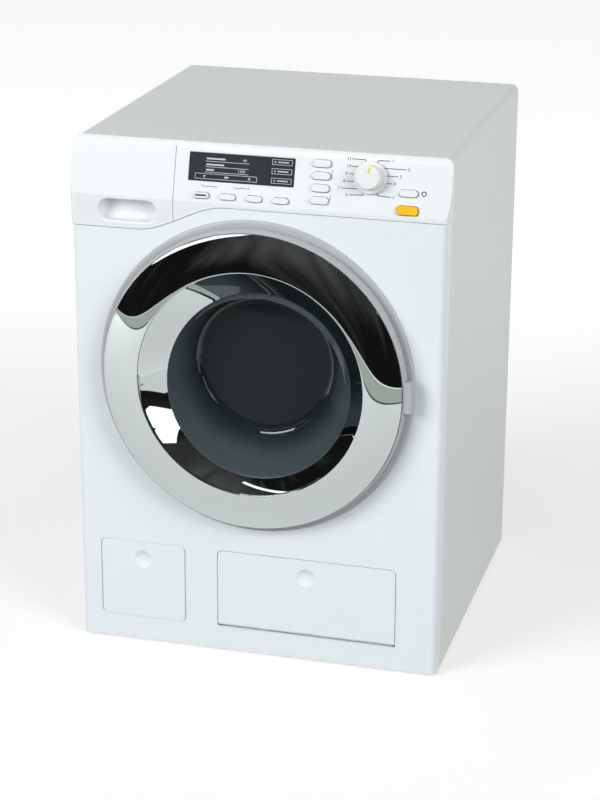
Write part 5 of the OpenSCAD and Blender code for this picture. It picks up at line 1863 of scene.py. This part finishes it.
    def dark_room(self) -> Shader:
        """Returns a painted reflection of the dim room behind the camera: dark streaks, with a painted
        lighter patch in the middle.
        """
        shader = Shader("dark_room")
        # Painted reflection: brighter near a spot above and behind the camera, fading out over about 2.4 m.
        middle = shader.node("ShaderNodeVectorMath", {"operation": "DISTANCE"},
                             {0: shader.place(), 1: (-0.4, -3.4, 1.5)}, "Value")
        light = (middle * -0.42 + 1.0).clamped()
        streaks = shader.noise(2.2, 5.0, (1.0, 1.0, 0.22))
        shade = (light * 0.75 + (streaks - 0.52) * 1.3).clamped()
        colour = shader.blend(shade, (0.010, 0.010, 0.009), (0.140, 0.142, 0.138))
        return self.glowing("dark_room", colour)

    def surroundings(self) -> None:
        """Sets glowing cards that paint reflections and highlights in the bright plating and glossy surfaces:
        the dark room, its pale wall and windows, the table's edge, and two more painted highlights.
        """
        edge = self.at_edge()
        far = edge @ Matrix.Translation((0, -self.room, 0))
        nearer = far @ Matrix.Translation((0, 0.01, 0))
        # The windows, pale wall and dark room glow but light nothing: painted reflections and highlights seen
        # only by glossy rays.
        window = self.glowing("window", WHITE, self.window_light)
        pale = self.glowing("pale_wall", (0.98, 1.0, 0.98))
        self.card("dark_room", far, (-40, -8), (5, 16), self.dark_room())
        self.card("pale_wall", nearer, (1.30, -3), (2.6, 0.0), pale)
        self.card("low_window", nearer, (0.62, 0.05), (1.045, 1.08), window)
        self.card("high_window", nearer, (0.27, 0.50), (0.62, 1.08), window)
        # Painted reflection of the table's front edge: a dark line, a grey-green band and a painted bright
        # highlight line.
        for name, low, high, colour in (("edge_line", 0.0, 0.004, (0.10, 0.12, 0.09)),
                                        ("table_edge", 0.004, 0.040, (0.58, 0.62, 0.57)),
                                        ("edge_light", 0.040, 0.043, (1.3, 1.3, 1.25))):
            self.card(name, edge, (-4, low), (self.corner_x, high), self.glowing(name, colour))
        left = Matrix.Translation((-3.5, -2.4, 0)) @ self.turned(90, 0, 0)
        self.card("dark_side", left, (-6, -1), (2.6, 5), self.dark_room())
        # Painted highlights: a thin strip to the left and a bright card overhead, for glints on the bowl's
        # fillets and the plating's edges.
        side = Matrix.Translation((-0.75, -1.17, 0.84)) @ self.turned(-21, -27, 0)
        self.card("side_window", side, (-0.50, -0.15), (0.50, -0.09), window)
        above = Matrix.Translation((-0.66, -0.74, 1.19)) @ self.turned(-13, -26, -50)
        bright = self.glowing("top_window", WHITE, self.top_light)
        self.card("top_window", above, (-0.46, -0.14), (0.46, 0.14), bright)

    def build(self) -> None:
        """Sets the studio up."""
        self.floor()
        self.world()
        for turn, power in self.lamps:
            self.lamp(turn, power)
        self.surroundings()
        self.camera()
        bpy.context.scene.view_settings.view_transform = "Standard"


CONTROLS = Controls()


def main() -> None:
    """Builds every sub-assembly in order, then the studio."""
    logging.basicConfig(level=logging.INFO, format="%(name)s: %(message)s")
    for part in (Casing(), FrontPanel(), CONTROLS, Door(), Drawer(), Flap(), Works(), Studio()):
        LOG.info("building %s", type(part).__name__)
        part.build()
    sizes = {"cad": CAD_BOX, "dressed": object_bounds()}
    {name: [list(corner) for corner in box] for name, box in sizes.items()}


if __name__ == "__main__":
    main()
